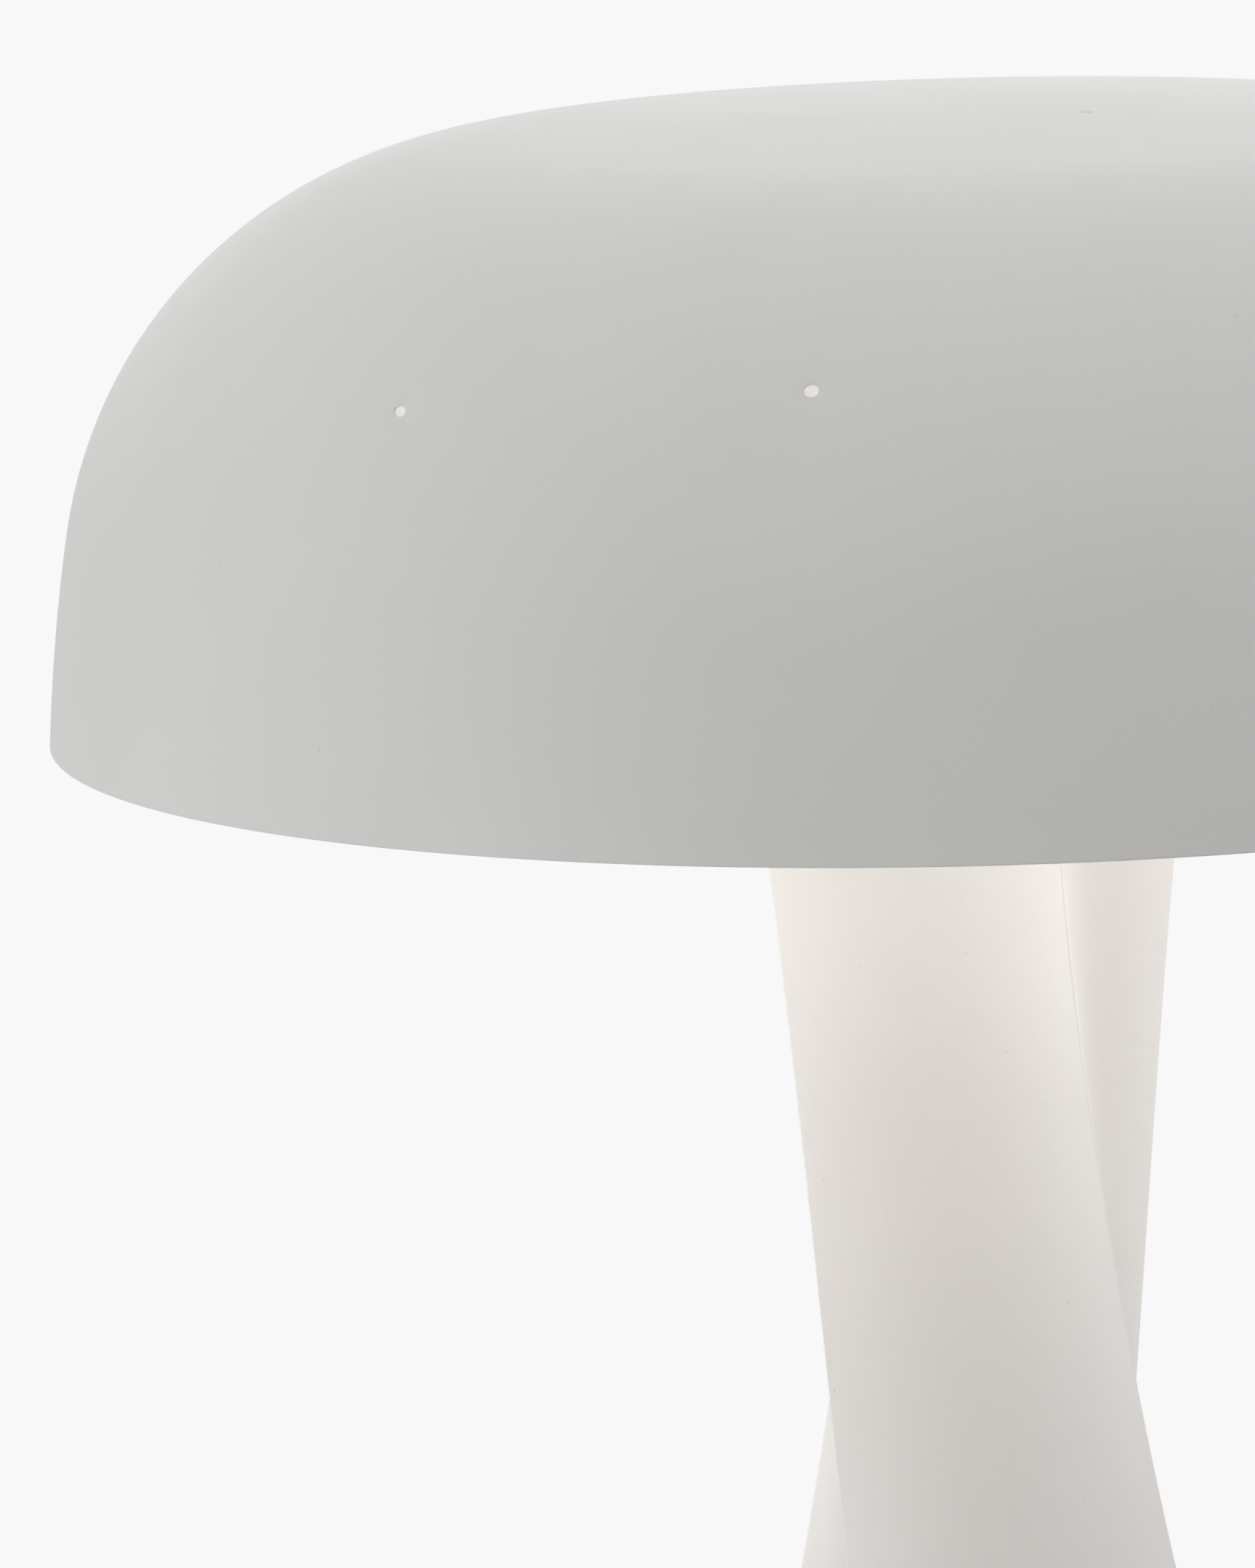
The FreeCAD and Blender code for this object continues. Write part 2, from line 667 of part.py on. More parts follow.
def bulb_cap():
    """Tip contact, insulating button and screw shell."""
    turned_piece("bulb_tip", (
        ("0", above_tip("0")), ("tip_diameter / 2 - edge_bevel", above_tip("0")),
        ("tip_diameter / 2", above_tip("tip_height")), ("0", above_tip("tip_height")),
    ))
    turned_piece("bulb_insulator", (
        ("0", above_tip("tip_height")), ("tip_diameter / 2", above_tip("tip_height")),
        ("button_diameter / 2", above_tip("button_height")), ("0", above_tip("button_height")),
    ))
    turned_piece("bulb_screw_shell", (
        ("0", above_tip("button_height")), ("button_diameter / 2", above_tip("button_height")),
        ("screw_diameter / 2", above_tip("button_height + shell_taper")),
        ("screw_diameter / 2", above_tip("screw_top")), ("0", above_tip("screw_top")),
    ))


def bulb_housing():
    """Flared plastic body between the screw shell and the globe."""
    turned_piece("bulb_housing", (
        ("0", above_tip("screw_top")), ("screw_diameter / 2", above_tip("screw_top")),
        ("screw_diameter / 2", above_tip("collar_bottom")), ("collar_neck / 2", above_tip("collar_bottom")),
        ("collar_diameter / 2", above_tip("collar_top")), ("0", above_tip("collar_top")),
    ))
    top = "collar_top + board_thickness"
    turned_piece("bulb_board", (
        ("0", above_tip("collar_top")), ("board_diameter / 2", above_tip("collar_top")),
        ("board_diameter / 2", above_tip(top)), ("0", above_tip(top)),
    ))


def bulb_globe():
    """Opal globe that stands on the housing."""
    body = new_body("bulb_globe")
    sketch = new_sketch(body, "outline", "XZ_Plane")
    centre_height = above_tip("bulb_length - globe_diameter / 2")
    centre = FreeCAD.Vector(0, measure(centre_height), 0)
    neck = measure(above_tip("collar_top"))
    rims = []
    tops = []
    for radius in (measure("globe_diameter / 2"), measure("globe_diameter / 2 - globe_wall")):
        start = -math.asin((centre.y - neck) / radius)
        circle = Part.Circle(centre, UP, radius)
        sketch.addGeometry(Part.ArcOfCircle(circle, start, math.pi / 2), False)
        rims.append(FreeCAD.Vector(radius * math.cos(start), neck, 0))
        tops.append(centre + FreeCAD.Vector(0, radius, 0))
    sketch.addGeometry(Part.LineSegment(tops[0], tops[1]), False)
    sketch.addGeometry(Part.LineSegment(rims[1], rims[0]), False)
    sketch.addConstraint(Sketcher.Constraint("Coincident", 0, 2, 2, 1))
    sketch.addConstraint(Sketcher.Constraint("Coincident", 1, 2, 2, 2))
    sketch.addConstraint(Sketcher.Constraint("Coincident", 1, 1, 3, 1))
    sketch.addConstraint(Sketcher.Constraint("Coincident", 0, 1, 3, 2))
    sketch.addConstraint(Sketcher.Constraint("Coincident", 0, 3, 1, 3))
    sketch.addConstraint(Sketcher.Constraint("Horizontal", 3))
    place_point(sketch, 0, 3, "0", centre_height)
    sketch.addConstraint(Sketcher.Constraint("PointOnObject", 2, 1, -2))
    sketch.addConstraint(Sketcher.Constraint("PointOnObject", 2, 2, -2))
    constrain(sketch, "globe_diameter / 2", "Radius", 0)
    constrain(sketch, "globe_diameter / 2 - globe_wall", "Radius", 1)
    constrain(sketch, above_tip("collar_top"), "DistanceY", -1, 1, 3, 1)
    turn_solid(body, sketch)


# Shade
def dome_section(body, name, inset, floor):
    """Half outline of the dome: wall, shoulder and crown arcs, taken in by an inset, above a floor."""
    sketch = new_sketch(body, name, "XZ_Plane")
    taken = measure(inset)
    rim = FreeCAD.Vector(measure("shade_radius"), 0, 0)
    crown = FreeCAD.Vector(0, measure(f"shade_height - {CROWN_RADIUS}"), 0)
    shoulder = FreeCAD.Vector(measure(SHOULDER_REACH), measure(SHOULDER_HEIGHT), 0)
    wall_radius = measure("wall_radius")
    inwards = shoulder - rim
    spread = inwards.Length
    along = (wall_radius**2 - measure("wall_radius - shoulder_radius")**2 + spread**2) / (2 * spread)
    aside = math.sqrt(wall_radius**2 - along**2)
    inwards.normalize()
    wall = rim + inwards * along + FreeCAD.Vector(inwards.y, -inwards.x, 0) * -aside
    bend_low = math.atan2(shoulder.y - wall.y, shoulder.x - wall.x)
    bend_high = math.atan2(shoulder.y - crown.y, shoulder.x - crown.x)
    base = measure(floor)
    start = math.asin((base - wall.y) / (wall_radius - taken))
    arcs = (
        (wall, wall_radius, start, bend_low),
        (shoulder, measure("shoulder_radius"), bend_low, bend_high),
        (crown, measure(CROWN_RADIUS), bend_high, math.pi / 2),
    )
    for centre, radius, first, last in arcs:
        circle = Part.Circle(centre, UP, radius - taken)
        sketch.addGeometry(Part.ArcOfCircle(circle, first, last), False)
    top = FreeCAD.Vector(0, measure("shade_height") - taken, 0)
    middle = FreeCAD.Vector(0, base, 0)
    edge = FreeCAD.Vector(wall.x + (wall_radius - taken) * math.cos(start), base, 0)
    sketch.addGeometry(Part.LineSegment(top, middle), False)
    sketch.addGeometry(Part.LineSegment(middle, edge), False)
    sketch.addGeometry(Part.LineSegment(wall, rim), True)
    sketch.addConstraint(Sketcher.Constraint("Tangent", 0, 2, 1, 1))
    sketch.addConstraint(Sketcher.Constraint("Tangent", 1, 2, 2, 1))
    join(sketch, 2, 3)
    join(sketch, 3, 4)
    join(sketch, 4, 0)
    sketch.addConstraint(Sketcher.Constraint("Horizontal", 4))
    sketch.addConstraint(Sketcher.Constraint("PointOnObject", 2, 3, -2))
    place_point(sketch, 3, 1, "0", f"shade_height - {inset}")
    place_point(sketch, 3, 2, "0", floor)
    constrain(sketch, f"wall_radius - {inset}", "Radius", 0)
    constrain(sketch, f"shoulder_radius - {inset}", "Radius", 1)
    constrain(sketch, f"{CROWN_RADIUS} - {inset}", "Radius", 2)
    constrain(sketch, SHOULDER_HEIGHT, "DistanceY", -1, 1, 1, 3)
    sketch.addConstraint(Sketcher.Constraint("Coincident", 5, 1, 0, 3))
    place_point(sketch, 5, 2, "shade_radius", "0")
    constrain(sketch, "wall_radius", "Distance", 5)
    return sketch


def shoulder_hole_placement(height, angle):
    """Start of a hole through the shoulder at a height, with Z square to the surface."""
    slope = math.asin((measure(height) - measure(SHOULDER_HEIGHT)) / measure("shoulder_radius"))
    inside = measure("shoulder_radius") / 2
    reach = measure(SHOULDER_REACH) + inside * math.cos(slope)
    start = FreeCAD.Vector(reach, 0, measure(SHOULDER_HEIGHT) + inside * math.sin(slope))
    lean = FreeCAD.Rotation(SIDEWAYS, 90 - math.degrees(slope))
    about = FreeCAD.Placement(FreeCAD.Vector(), FreeCAD.Rotation(UP, measure(angle)))
    return about * FreeCAD.Placement(start, lean)


def shade():
    """Spun dome with a turned-in lip and drilled light holes."""
    body = new_body("shade")
    turn_solid(body, dome_section(body, "outside", "0", "0"))
    cavity = body.newObject("PartDesign::Groove", "shade_cavity")
    inside = dome_section(body, "inside", "shade_sheet", "shade_sheet")
    cavity.Profile = inside
    cavity.ReferenceAxis = (inside, ["V_Axis"])
    cavity.Angle = 360
    mouth_diameter = "(2 * (shade_radius - lip_width))"
    mouth = drill(body, "mouth", mouth_diameter, "2 * shade_sheet", "-1 * shade_sheet / 2")
    rim = measure("shade_radius")
    round_edges(body, mouth, "lip", "lip_round",
                lambda edge: edge.BoundBox.ZMax < SAME_PLACE and edge.BoundBox.XMax > rim - SAME_PLACE)
    depth = "shoulder_radius"
    low = drill_along(body, "low_hole", "hole_diameter", depth,
                      shoulder_hole_placement("low_hole_height", "low_hole_angle"))
    high = drill_along(body, "high_hole", "hole_diameter", depth,
                       shoulder_hole_placement("high_hole_height", "high_hole_angle"))
    repeat_round(body, [low, high], "hole_groups")
    turn = FreeCAD.Rotation(UP, measure("crown_hole_angle"))
    spot = turn.multVec(FreeCAD.Vector(measure("crown_hole_reach"), 0, measure("shade_height") / 2))
    crown_hole = drill_along(body, "crown_hole", "hole_diameter", "shade_height",
                             FreeCAD.Placement(spot, FreeCAD.Rotation()))
    body.Tip = crown_hole
    bind(body, "Placement.Base.z", "rim_height")


# Make every piece, from the table up
base_pad()
base_plate()
base_fastening()
stem()
cord_grommet()
threaded_tube()
top_plate()
carrier_hub()
for arm in range(int(measure("arm_count"))):
    carrier_arm(arm)
    arm_pad(arm)
holder_cap()
cap_set_screw()
holder_core()
terminal_screws()
holder_skirt()
holder_contacts()
bulb_cap()
bulb_housing()
bulb_globe()
shade()
doc.recompute()

# Check every object and every piece, then write the pieces
for item in doc.Objects:
    if "Invalid" in item.State or "Error" in item.State:
        raise RuntimeError(f"{item.Label} failed to build")
for piece in pieces:
    if piece.Shape.isNull() or not piece.Shape.isValid():
        raise RuntimeError(f"{piece.Label} has no valid shape")
os.makedirs("parts", exist_ok=True)
for piece in pieces:
    piece.Shape.exportStep(f"parts/{piece.Label}.step")
    print(f"{piece.Label}: {len(piece.Shape.Solids)} solid, {piece.Shape.Volume:.0f} mm3")
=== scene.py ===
# %% [markdown]
# A table lamp: a low dome of painted sheet metal with small light holes, on a hollow square stem that
# twists on its way up. The construction model gives the frame and the bodies that move. Each piece that
# can be seen is made again here with finer edges, and rides on the body that it belongs to.

# %% Load the frame
import math
import bmesh
import bpy
import numpy as np
from mathutils import Matrix, Vector


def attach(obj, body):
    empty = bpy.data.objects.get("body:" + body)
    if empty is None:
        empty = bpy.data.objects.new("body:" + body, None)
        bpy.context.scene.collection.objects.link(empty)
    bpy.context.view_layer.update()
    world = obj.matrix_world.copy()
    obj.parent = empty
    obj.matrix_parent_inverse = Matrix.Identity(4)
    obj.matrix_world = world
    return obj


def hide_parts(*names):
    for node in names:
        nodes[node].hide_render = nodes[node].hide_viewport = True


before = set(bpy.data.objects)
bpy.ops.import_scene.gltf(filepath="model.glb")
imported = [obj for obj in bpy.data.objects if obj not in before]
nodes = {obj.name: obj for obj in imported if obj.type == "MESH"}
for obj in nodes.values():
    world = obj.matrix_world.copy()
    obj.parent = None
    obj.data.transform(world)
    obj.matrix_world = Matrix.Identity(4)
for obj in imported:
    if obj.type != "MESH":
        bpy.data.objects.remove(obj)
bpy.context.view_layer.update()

# %% [markdown]
# The lamp's main sizes, as in the construction model, so that every visible piece fits the one it stands
# for. Two differ, because the photograph shows them so: the stem's corners are sharper, and the lower
# light hole is a leaning oval. The sizes could be read off the model's meshes, but written out they can
# be followed. Lengths are millimetres until a mesh is made, and heights are above the table unless a
# comment says more.

# %% Sizes of the lamp
MM = 0.001
FULL_TURN = 2 * math.pi
RIM = 300.0
# Shade, with heights above the rim
SHADE_RADIUS = 170.0
SHADE_HEIGHT = 113.0
SHEET = 1.2
WALL_RADIUS = 350.0
SHOULDER_RADIUS = 85.4
SHOULDER_HEIGHT = 24.4
CROWN_RADIUS = 1120.0
LIP = 6.0
LIP_ROUND = 1.0
SHOULDER_REACH = math.sqrt(
    (CROWN_RADIUS - SHOULDER_RADIUS) ** 2 - (SHOULDER_HEIGHT - SHADE_HEIGHT + CROWN_RADIUS) ** 2
)
# Light holes: height above the rim, or on the crown the reach from the axis, and angle in degrees
HOLE_GROUPS = 3
LOW_HOLE = (73.1, -160.5)
HIGH_HOLE = (78.3, -130.6)
CROWN_HOLE = (31.5, -72.0)
# Outlines of the light holes: half length, half width and lean
ROUND_HOLE = (1.25, 1.25, 0.0)
SLANTED_HOLE = (1.30, 0.92, math.radians(24.8))
# Stem, which would turn by so many degrees between the table and the turn's height
FOOT_TOP = 10.0
STEM_TOP = 281.0
FOOT_SIDE = 97.0
WAIST_SIDE = 55.2
WAIST = 219.0
STEM_TURN = 56.8
TURN_HEIGHT = 326.6
FACE_HOLLOW = 4.5
CORNER = 0.2
STEM_WALL = 3.5
# Lid of the stem, hub, lampholder and bulb
LID_TOP = STEM_TOP + 2.0
HUB_TOP = LID_TOP + 7.0
TUBE_HOLE = 5.1
CORE_TOP = 312.0
BULB_TIP = 314.8
HOUSING_TOP = BULB_TIP + 41.0
print("shoulder centre", round(SHOULDER_REACH, 2), "mm from the axis")

# %% [markdown]
# Blender's own cylinders and cubes could be pushed into shape. Here each piece starts as a list of points
# and faces that is worked out from the real sizes, because then the pieces fit each other. One function
# makes the faces point outwards; another shades them smoothly except at sharp edges, gives them a
# material and lets the piece ride on its body in place of the construction nodes.

# %% Mesh helpers
SHARP = math.radians(32)


def mesh_object(name, points, faces):
    """Object from points in millimetres, with its faces turned outwards."""
    mesh = bpy.data.meshes.new(name)
    mesh.from_pydata([tuple(MM * c for c in p) for p in points], [], faces)
    shell = bmesh.new()
    shell.from_mesh(mesh)
    bmesh.ops.recalc_face_normals(shell, faces=shell.faces)
    shell.to_mesh(mesh)
    shell.free()
    made = bpy.data.objects.new(name, mesh)
    bpy.context.scene.collection.objects.link(made)
    return made


def dress(made, material, body, stands_for):
    """Shade an object, give it its material and put it in the place of its construction nodes."""
    made.data.polygons.foreach_set("use_smooth", [True] * len(made.data.polygons))
    made.data.set_sharp_from_angle(angle=SHARP)
    made.data.materials.clear()
    made.data.materials.append(material)
    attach(made, body)
    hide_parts(*stands_for)
    print(made.name, "has", len(made.data.polygons), "faces")


def piece(name, points, faces, material, body, stands_for):
    """Make one visible piece from points in millimetres."""
    dress(mesh_object(name, points, faces), material, body, stands_for)


print("mesh helpers ready")

# %% [markdown]
# Most of the small pieces are turned about an axis. A Screw modifier could turn an edge, but the edge
# would have to be drawn first, so a function turns a list of (radius, height) points, the profile. No
# real edge is quite sharp, so another function first rounds the profile's corners.

# %% Turned pieces
# Half angle of a corner that counts as straight, share of a side that a corner may take, and radius
# below which a point lies on the axis
STRAIGHT = math.radians(88)
LONGEST_CUT = 0.45
ON_AXIS = 1e-6


def rounded(corners, radius, steps=4, closed=False):
    """Round the corners of a polyline, each from where an arc of the radius would begin."""
    count = len(corners)
    made = []
    for index, here in enumerate(corners):
        if not closed and index in (0, count - 1):
            made.append(here)
            continue
        here = np.array(here, float)
        back = np.array(corners[index - 1], float) - here
        ahead = np.array(corners[(index + 1) % count], float) - here
        back_length, ahead_length = np.linalg.norm(back), np.linalg.norm(ahead)
        back, ahead = back / back_length, ahead / ahead_length
        half = math.acos(np.clip(back @ ahead, -1, 1)) / 2
        if half > STRAIGHT:
            made.append(tuple(here))
            continue
        cut = min(radius / math.tan(half), LONGEST_CUT * back_length, LONGEST_CUT * ahead_length)
        first, last = here + back * cut, here + ahead * cut
        for step in range(steps + 1):
            share = step / steps
            bend = (1 - share) ** 2 * first + 2 * share * (1 - share) * here + share**2 * last
            made.append(tuple(bend))
    return made


def lathe(profile, steps):
    """Turn a profile of (radius, height) pairs about the Z axis."""
    points, faces, rings = [], [], []
    for radius, height in profile:
        if radius < ON_AXIS:
            rings.append([len(points)] * steps)
            points.append((0, 0, height))
            continue
        rings.append(list(range(len(points), len(points) + steps)))
        for step in range(steps):
            angle = FULL_TURN * step / steps
            points.append((radius * math.cos(angle), radius * math.sin(angle), height))
    for low, high in zip(rings, rings[1:]):
        for step in range(steps):
            after = (step + 1) % steps
            corners = list(dict.fromkeys((low[step], low[after], high[after], high[step])))
            if len(corners) > 2:
                faces.append(corners)
    return points, faces


def turned_ring(profile, steps):
    """Turn a closed profile about the Z axis."""
    return lathe(list(profile) + [profile[0]], steps)


def placed(points, matrix):
    """Move points by a matrix in millimetres."""
    return [tuple(matrix @ Vector(p)) for p in points]


print("turned pieces ready")

# %% [markdown]
# The shade and the stem are skins given by a rule: a point for each place (across, along). A boolean
# could cut the holes, but it leaves slivers that show on smooth paint. So a block of the grid is left out
# at each hole and filled again by triangles round a ring of points, an exact circle or oval that lies on
# the skin.

# %% Rings and tunnels
# Points on each ring, and the small step over which a slope is measured
HOLE_STEPS = 48
PROBE = 1e-4


def hole_ring(rule, middle, oval, grow=1.0):
    """Places on a skin, as (across, along), on an oval (half length, half width, lean) about a middle."""
    across, along = middle
    here = np.array(rule(across, along))
    slope = np.stack([
        (np.array(rule(across + PROBE, along)) - here) / PROBE,
        (np.array(rule(across, along + PROBE)) - here) / PROBE,
    ], axis=1)
    first = slope[:, 0] / np.linalg.norm(slope[:, 0])
    second = slope[:, 1] - first * (first @ slope[:, 1])
    second /= np.linalg.norm(second)
    back = np.linalg.pinv(slope)
    long, short, lean = oval
    ring = []
    for turn in np.linspace(0, FULL_TURN, HOLE_STEPS, endpoint=False):
        x, y = grow * long * math.cos(turn), grow * short * math.sin(turn)
        u, v = x * math.cos(lean) - y * math.sin(lean), x * math.sin(lean) + y * math.cos(lean)
        ring.append((across, along) + back @ (u * first + v * second))
    return ring


def zipper(outer, inner, flat, middle):
    """Triangles between two loops of points round a middle."""
    def sorted_loop(loop):
        angles = [math.atan2(flat[p][1] - middle[1], flat[p][0] - middle[0]) % FULL_TURN for p in loop]
        order = np.argsort(angles)
        return [loop[k] for k in order], [angles[k] for k in order]

    outer, outer_angles = sorted_loop(outer)
    inner, inner_angles = sorted_loop(inner)
    i = j = 0
    faces = []
    while i < len(outer) or j < len(inner):
        outer_next = outer_angles[(i + 1) % len(outer)] + (FULL_TURN if i + 1 >= len(outer) else 0)
        inner_next = inner_angles[(j + 1) % len(inner)] + (FULL_TURN if j + 1 >= len(inner) else 0)
        if j >= len(inner) or (i < len(outer) and outer_next <= inner_next):
            faces.append((outer[i % len(outer)], outer[(i + 1) % len(outer)], inner[j % len(inner)]))
            i += 1
        else:
            faces.append((outer[i % len(outer)], inner[(j + 1) % len(inner)], inner[j % len(inner)]))
            j += 1
    return faces


def tunnel(first, second):
    """Faces between two loops of the same length."""
    return [(first[k], first[(k + 1) % len(first)], second[(k + 1) % len(first)], second[k])
            for k in range(len(first))]


def stack_faces(count, steps):
    """Faces over a stack of rings, each of so many points, with both ends closed."""
    rings = [list(range(ring * steps, (ring + 1) * steps)) for ring in range(count)]
    faces = [face for low, high in zip(rings, rings[1:]) for face in tunnel(low, high)]
    return faces + [rings[0], rings[-1]]


print("rings and tunnels ready")

# %% [markdown]
# The skin itself is a grid of four-sided faces. A Grid mesh pushed about by modifiers could do the same,
# but here the rows and columns can lie closer where the shape bends more, and the loop of points at each
# hole is handed back, so that a tunnel can join it to the hole on the other side of the sheet.

# %% Skins with holes
# Width of the block that is left out at a hole, in widths of the hole
CLEARED = 1.9


def skin(rule, acrosses, alongs, holes=(), later_rule=None):
    """Grid over a rule that closes on itself across, with a loop of points at each hole.

    The holes get their outline on the rule, or on the later rule to which the skin is bent afterwards.
    """
    columns, rows = len(acrosses), len(alongs)
    points = [rule(across, along) for along in alongs for across in acrosses]
    flat = {row * columns + column: (acrosses[column], alongs[row])
            for row in range(rows) for column in range(columns)}
    left_out = set()
    faces, loops = [], []
    for middle, oval in holes:
        ring = hole_ring(later_rule or rule, middle, oval)
        wide = hole_ring(later_rule or rule, middle, oval, CLEARED)
        low_across, high_across = min(p[0] for p in wide), max(p[0] for p in wide)
        low_along, high_along = min(p[1] for p in wide), max(p[1] for p in wide)
        first_column = max(k for k in range(columns) if acrosses[k] <= low_across)
        last_column = min(k for k in range(columns) if acrosses[k] >= high_across)
        first_row = max(k for k in range(rows) if alongs[k] <= low_along)
        last_row = min(k for k in range(rows) if alongs[k] >= high_along)
        for row in range(first_row, last_row):
            for column in range(first_column, last_column):
                left_out.add((row, column))
        border = [row * columns + column for row in range(first_row, last_row + 1)
                  for column in range(first_column, last_column + 1)
                  if row in (first_row, last_row) or column in (first_column, last_column)]
        loop = list(range(len(points), len(points) + HOLE_STEPS))
        for number, place in zip(loop, ring):
            points.append(rule(*place))
            flat[number] = tuple(place)
        scale = ((high_across - low_across) / 2, (high_along - low_along) / 2)
        scaled = {p: (flat[p][0] / scale[0], flat[p][1] / scale[1]) for p in border + loop}
        faces += zipper(border, loop, scaled, (middle[0] / scale[0], middle[1] / scale[1]))
        loops.append(loop)
    for row in range(rows - 1):
        for column in range(columns):
            if (row, column) not in left_out:
                after = (column + 1) % columns
                faces.append((row * columns + column, row * columns + after,
                              (row + 1) * columns + after, (row + 1) * columns + column))
    return points, faces, loops


print("skins ready")

# %% [markdown]
# What repeats, and the twist of the stem, come from Geometry Nodes trees. A tree is built once, takes its
# sizes through named inputs and ends by making its copies real and giving them a material. The result is
# kept as a plain mesh. Python loops could do the same, but a tree can also be opened and tried in
# Blender.

# %% Node trees
def new_tree(name, **inputs):
    """Tree with named inputs, ready to be filled between its first node and its last steps."""
    tree = bpy.data.node_groups.new(name, "GeometryNodeTree")
    tree.interface.new_socket("Geometry", in_out="INPUT", socket_type="NodeSocketGeometry")
    for label, kind in inputs.items():
        tree.interface.new_socket(label, in_out="INPUT", socket_type=kind)
    tree.interface.new_socket("Material", in_out="INPUT", socket_type="NodeSocketMaterial")
    tree.interface.new_socket("Geometry", in_out="OUTPUT", socket_type="NodeSocketGeometry")
    given = tree.nodes.new("NodeGroupInput")
    real = tree.nodes.new("GeometryNodeRealizeInstances")
    paint = tree.nodes.new("GeometryNodeSetMaterial")
    result = tree.nodes.new("NodeGroupOutput")
    tree.links.new(real.outputs[0], paint.inputs["Geometry"])
    tree.links.new(given.outputs["Material"], paint.inputs["Material"])
    tree.links.new(paint.outputs[0], result.inputs[0])
    return tree, given, real


def grown(made, tree, **settings):
    """Replace an object's mesh by what a tree makes of it; the settings are the tree's inputs."""
    modifier = made.modifiers.new("tree", "NODES")
    modifier.node_group = tree
    for item in tree.interface.items_tree:
        if item.name in settings:
            modifier[item.identifier] = settings[item.name]
    bpy.context.view_layer.update()
    whole = bpy.data.meshes.new_from_object(made.evaluated_get(bpy.context.evaluated_depsgraph_get()))
    made.modifiers.remove(modifier)
    made.data = whole
    return made


print("node trees can be built and grown")

# %% [markdown]
# The rods, their caps and the ribs of the lampholder stand evenly about the axis. One tree sets copies on
# points that all lie on the axis and turns each copy by its number. The other tree turns each point of a
# mesh by its height. An Array modifier and a Simple Deform could do the same, but the array needs a
# helper object and the deform twists evenly.

# %% Repeat and twist
def repeat_tree():
    """Tree that repeats a mesh evenly about the Z axis."""
    tree, given, real = new_tree("repeat_about_axis", Copies="NodeSocketInt", First="NodeSocketFloat")
    add, link = tree.nodes.new, tree.links.new
    spots = add("GeometryNodePoints")
    number = add("GeometryNodeInputIndex")
    step = add("ShaderNodeMath")
    step.operation = "DIVIDE"
    step.inputs[0].default_value = FULL_TURN
    angle = add("ShaderNodeMath")
    angle.operation = "MULTIPLY_ADD"
    spin = add("ShaderNodeCombineXYZ")
    copies = add("GeometryNodeInstanceOnPoints")
    link(given.outputs["Copies"], spots.inputs["Count"])
    link(given.outputs["Copies"], step.inputs[1])
    link(number.outputs[0], angle.inputs[0])
    link(step.outputs[0], angle.inputs[1])
    link(given.outputs["First"], angle.inputs[2])
    link(angle.outputs[0], spin.inputs["Z"])
    link(spots.outputs[0], copies.inputs["Points"])
    link(given.outputs["Geometry"], copies.inputs["Instance"])
    link(spin.outputs[0], copies.inputs["Rotation"])
    link(copies.outputs[0], real.inputs[0])
    return tree


def twist_tree():
    """Tree that turns a mesh about the Z axis, by a smooth step over a height."""
    tree, given, real = new_tree("twist_by_height", Turn="NodeSocketFloat", Height="NodeSocketFloat")
    add, link = tree.nodes.new, tree.links.new
    place = add("GeometryNodeInputPosition")
    parts = add("ShaderNodeSeparateXYZ")
    turn = add("ShaderNodeMapRange")
    turn.interpolation_type = "SMOOTHSTEP"
    spin = add("ShaderNodeVectorRotate")
    spin.rotation_type = "Z_AXIS"
    move = add("GeometryNodeSetPosition")
    link(place.outputs[0], parts.inputs[0])
    link(parts.outputs["Z"], turn.inputs["Value"])
    link(given.outputs["Height"], turn.inputs["From Max"])
    link(given.outputs["Turn"], turn.inputs["To Max"])
    link(place.outputs[0], spin.inputs["Vector"])
    link(turn.outputs[0], spin.inputs["Angle"])
    link(given.outputs["Geometry"], move.inputs["Geometry"])
    link(spin.outputs[0], move.inputs["Position"])
    link(move.outputs[0], real.inputs[0])
    return tree


about_axis = repeat_tree()
twist = twist_tree()
print("trees:", about_axis.name, "and", twist.name)

# %% [markdown]
# The finishes are worked out by shader nodes. Wiring them one by one hides what they compute, so a small
# class wraps one output of a node, and a formula of such wires reads like arithmetic. One method adds any
# node.

# %% Shader arithmetic
NOISE_MEAN = 0.5


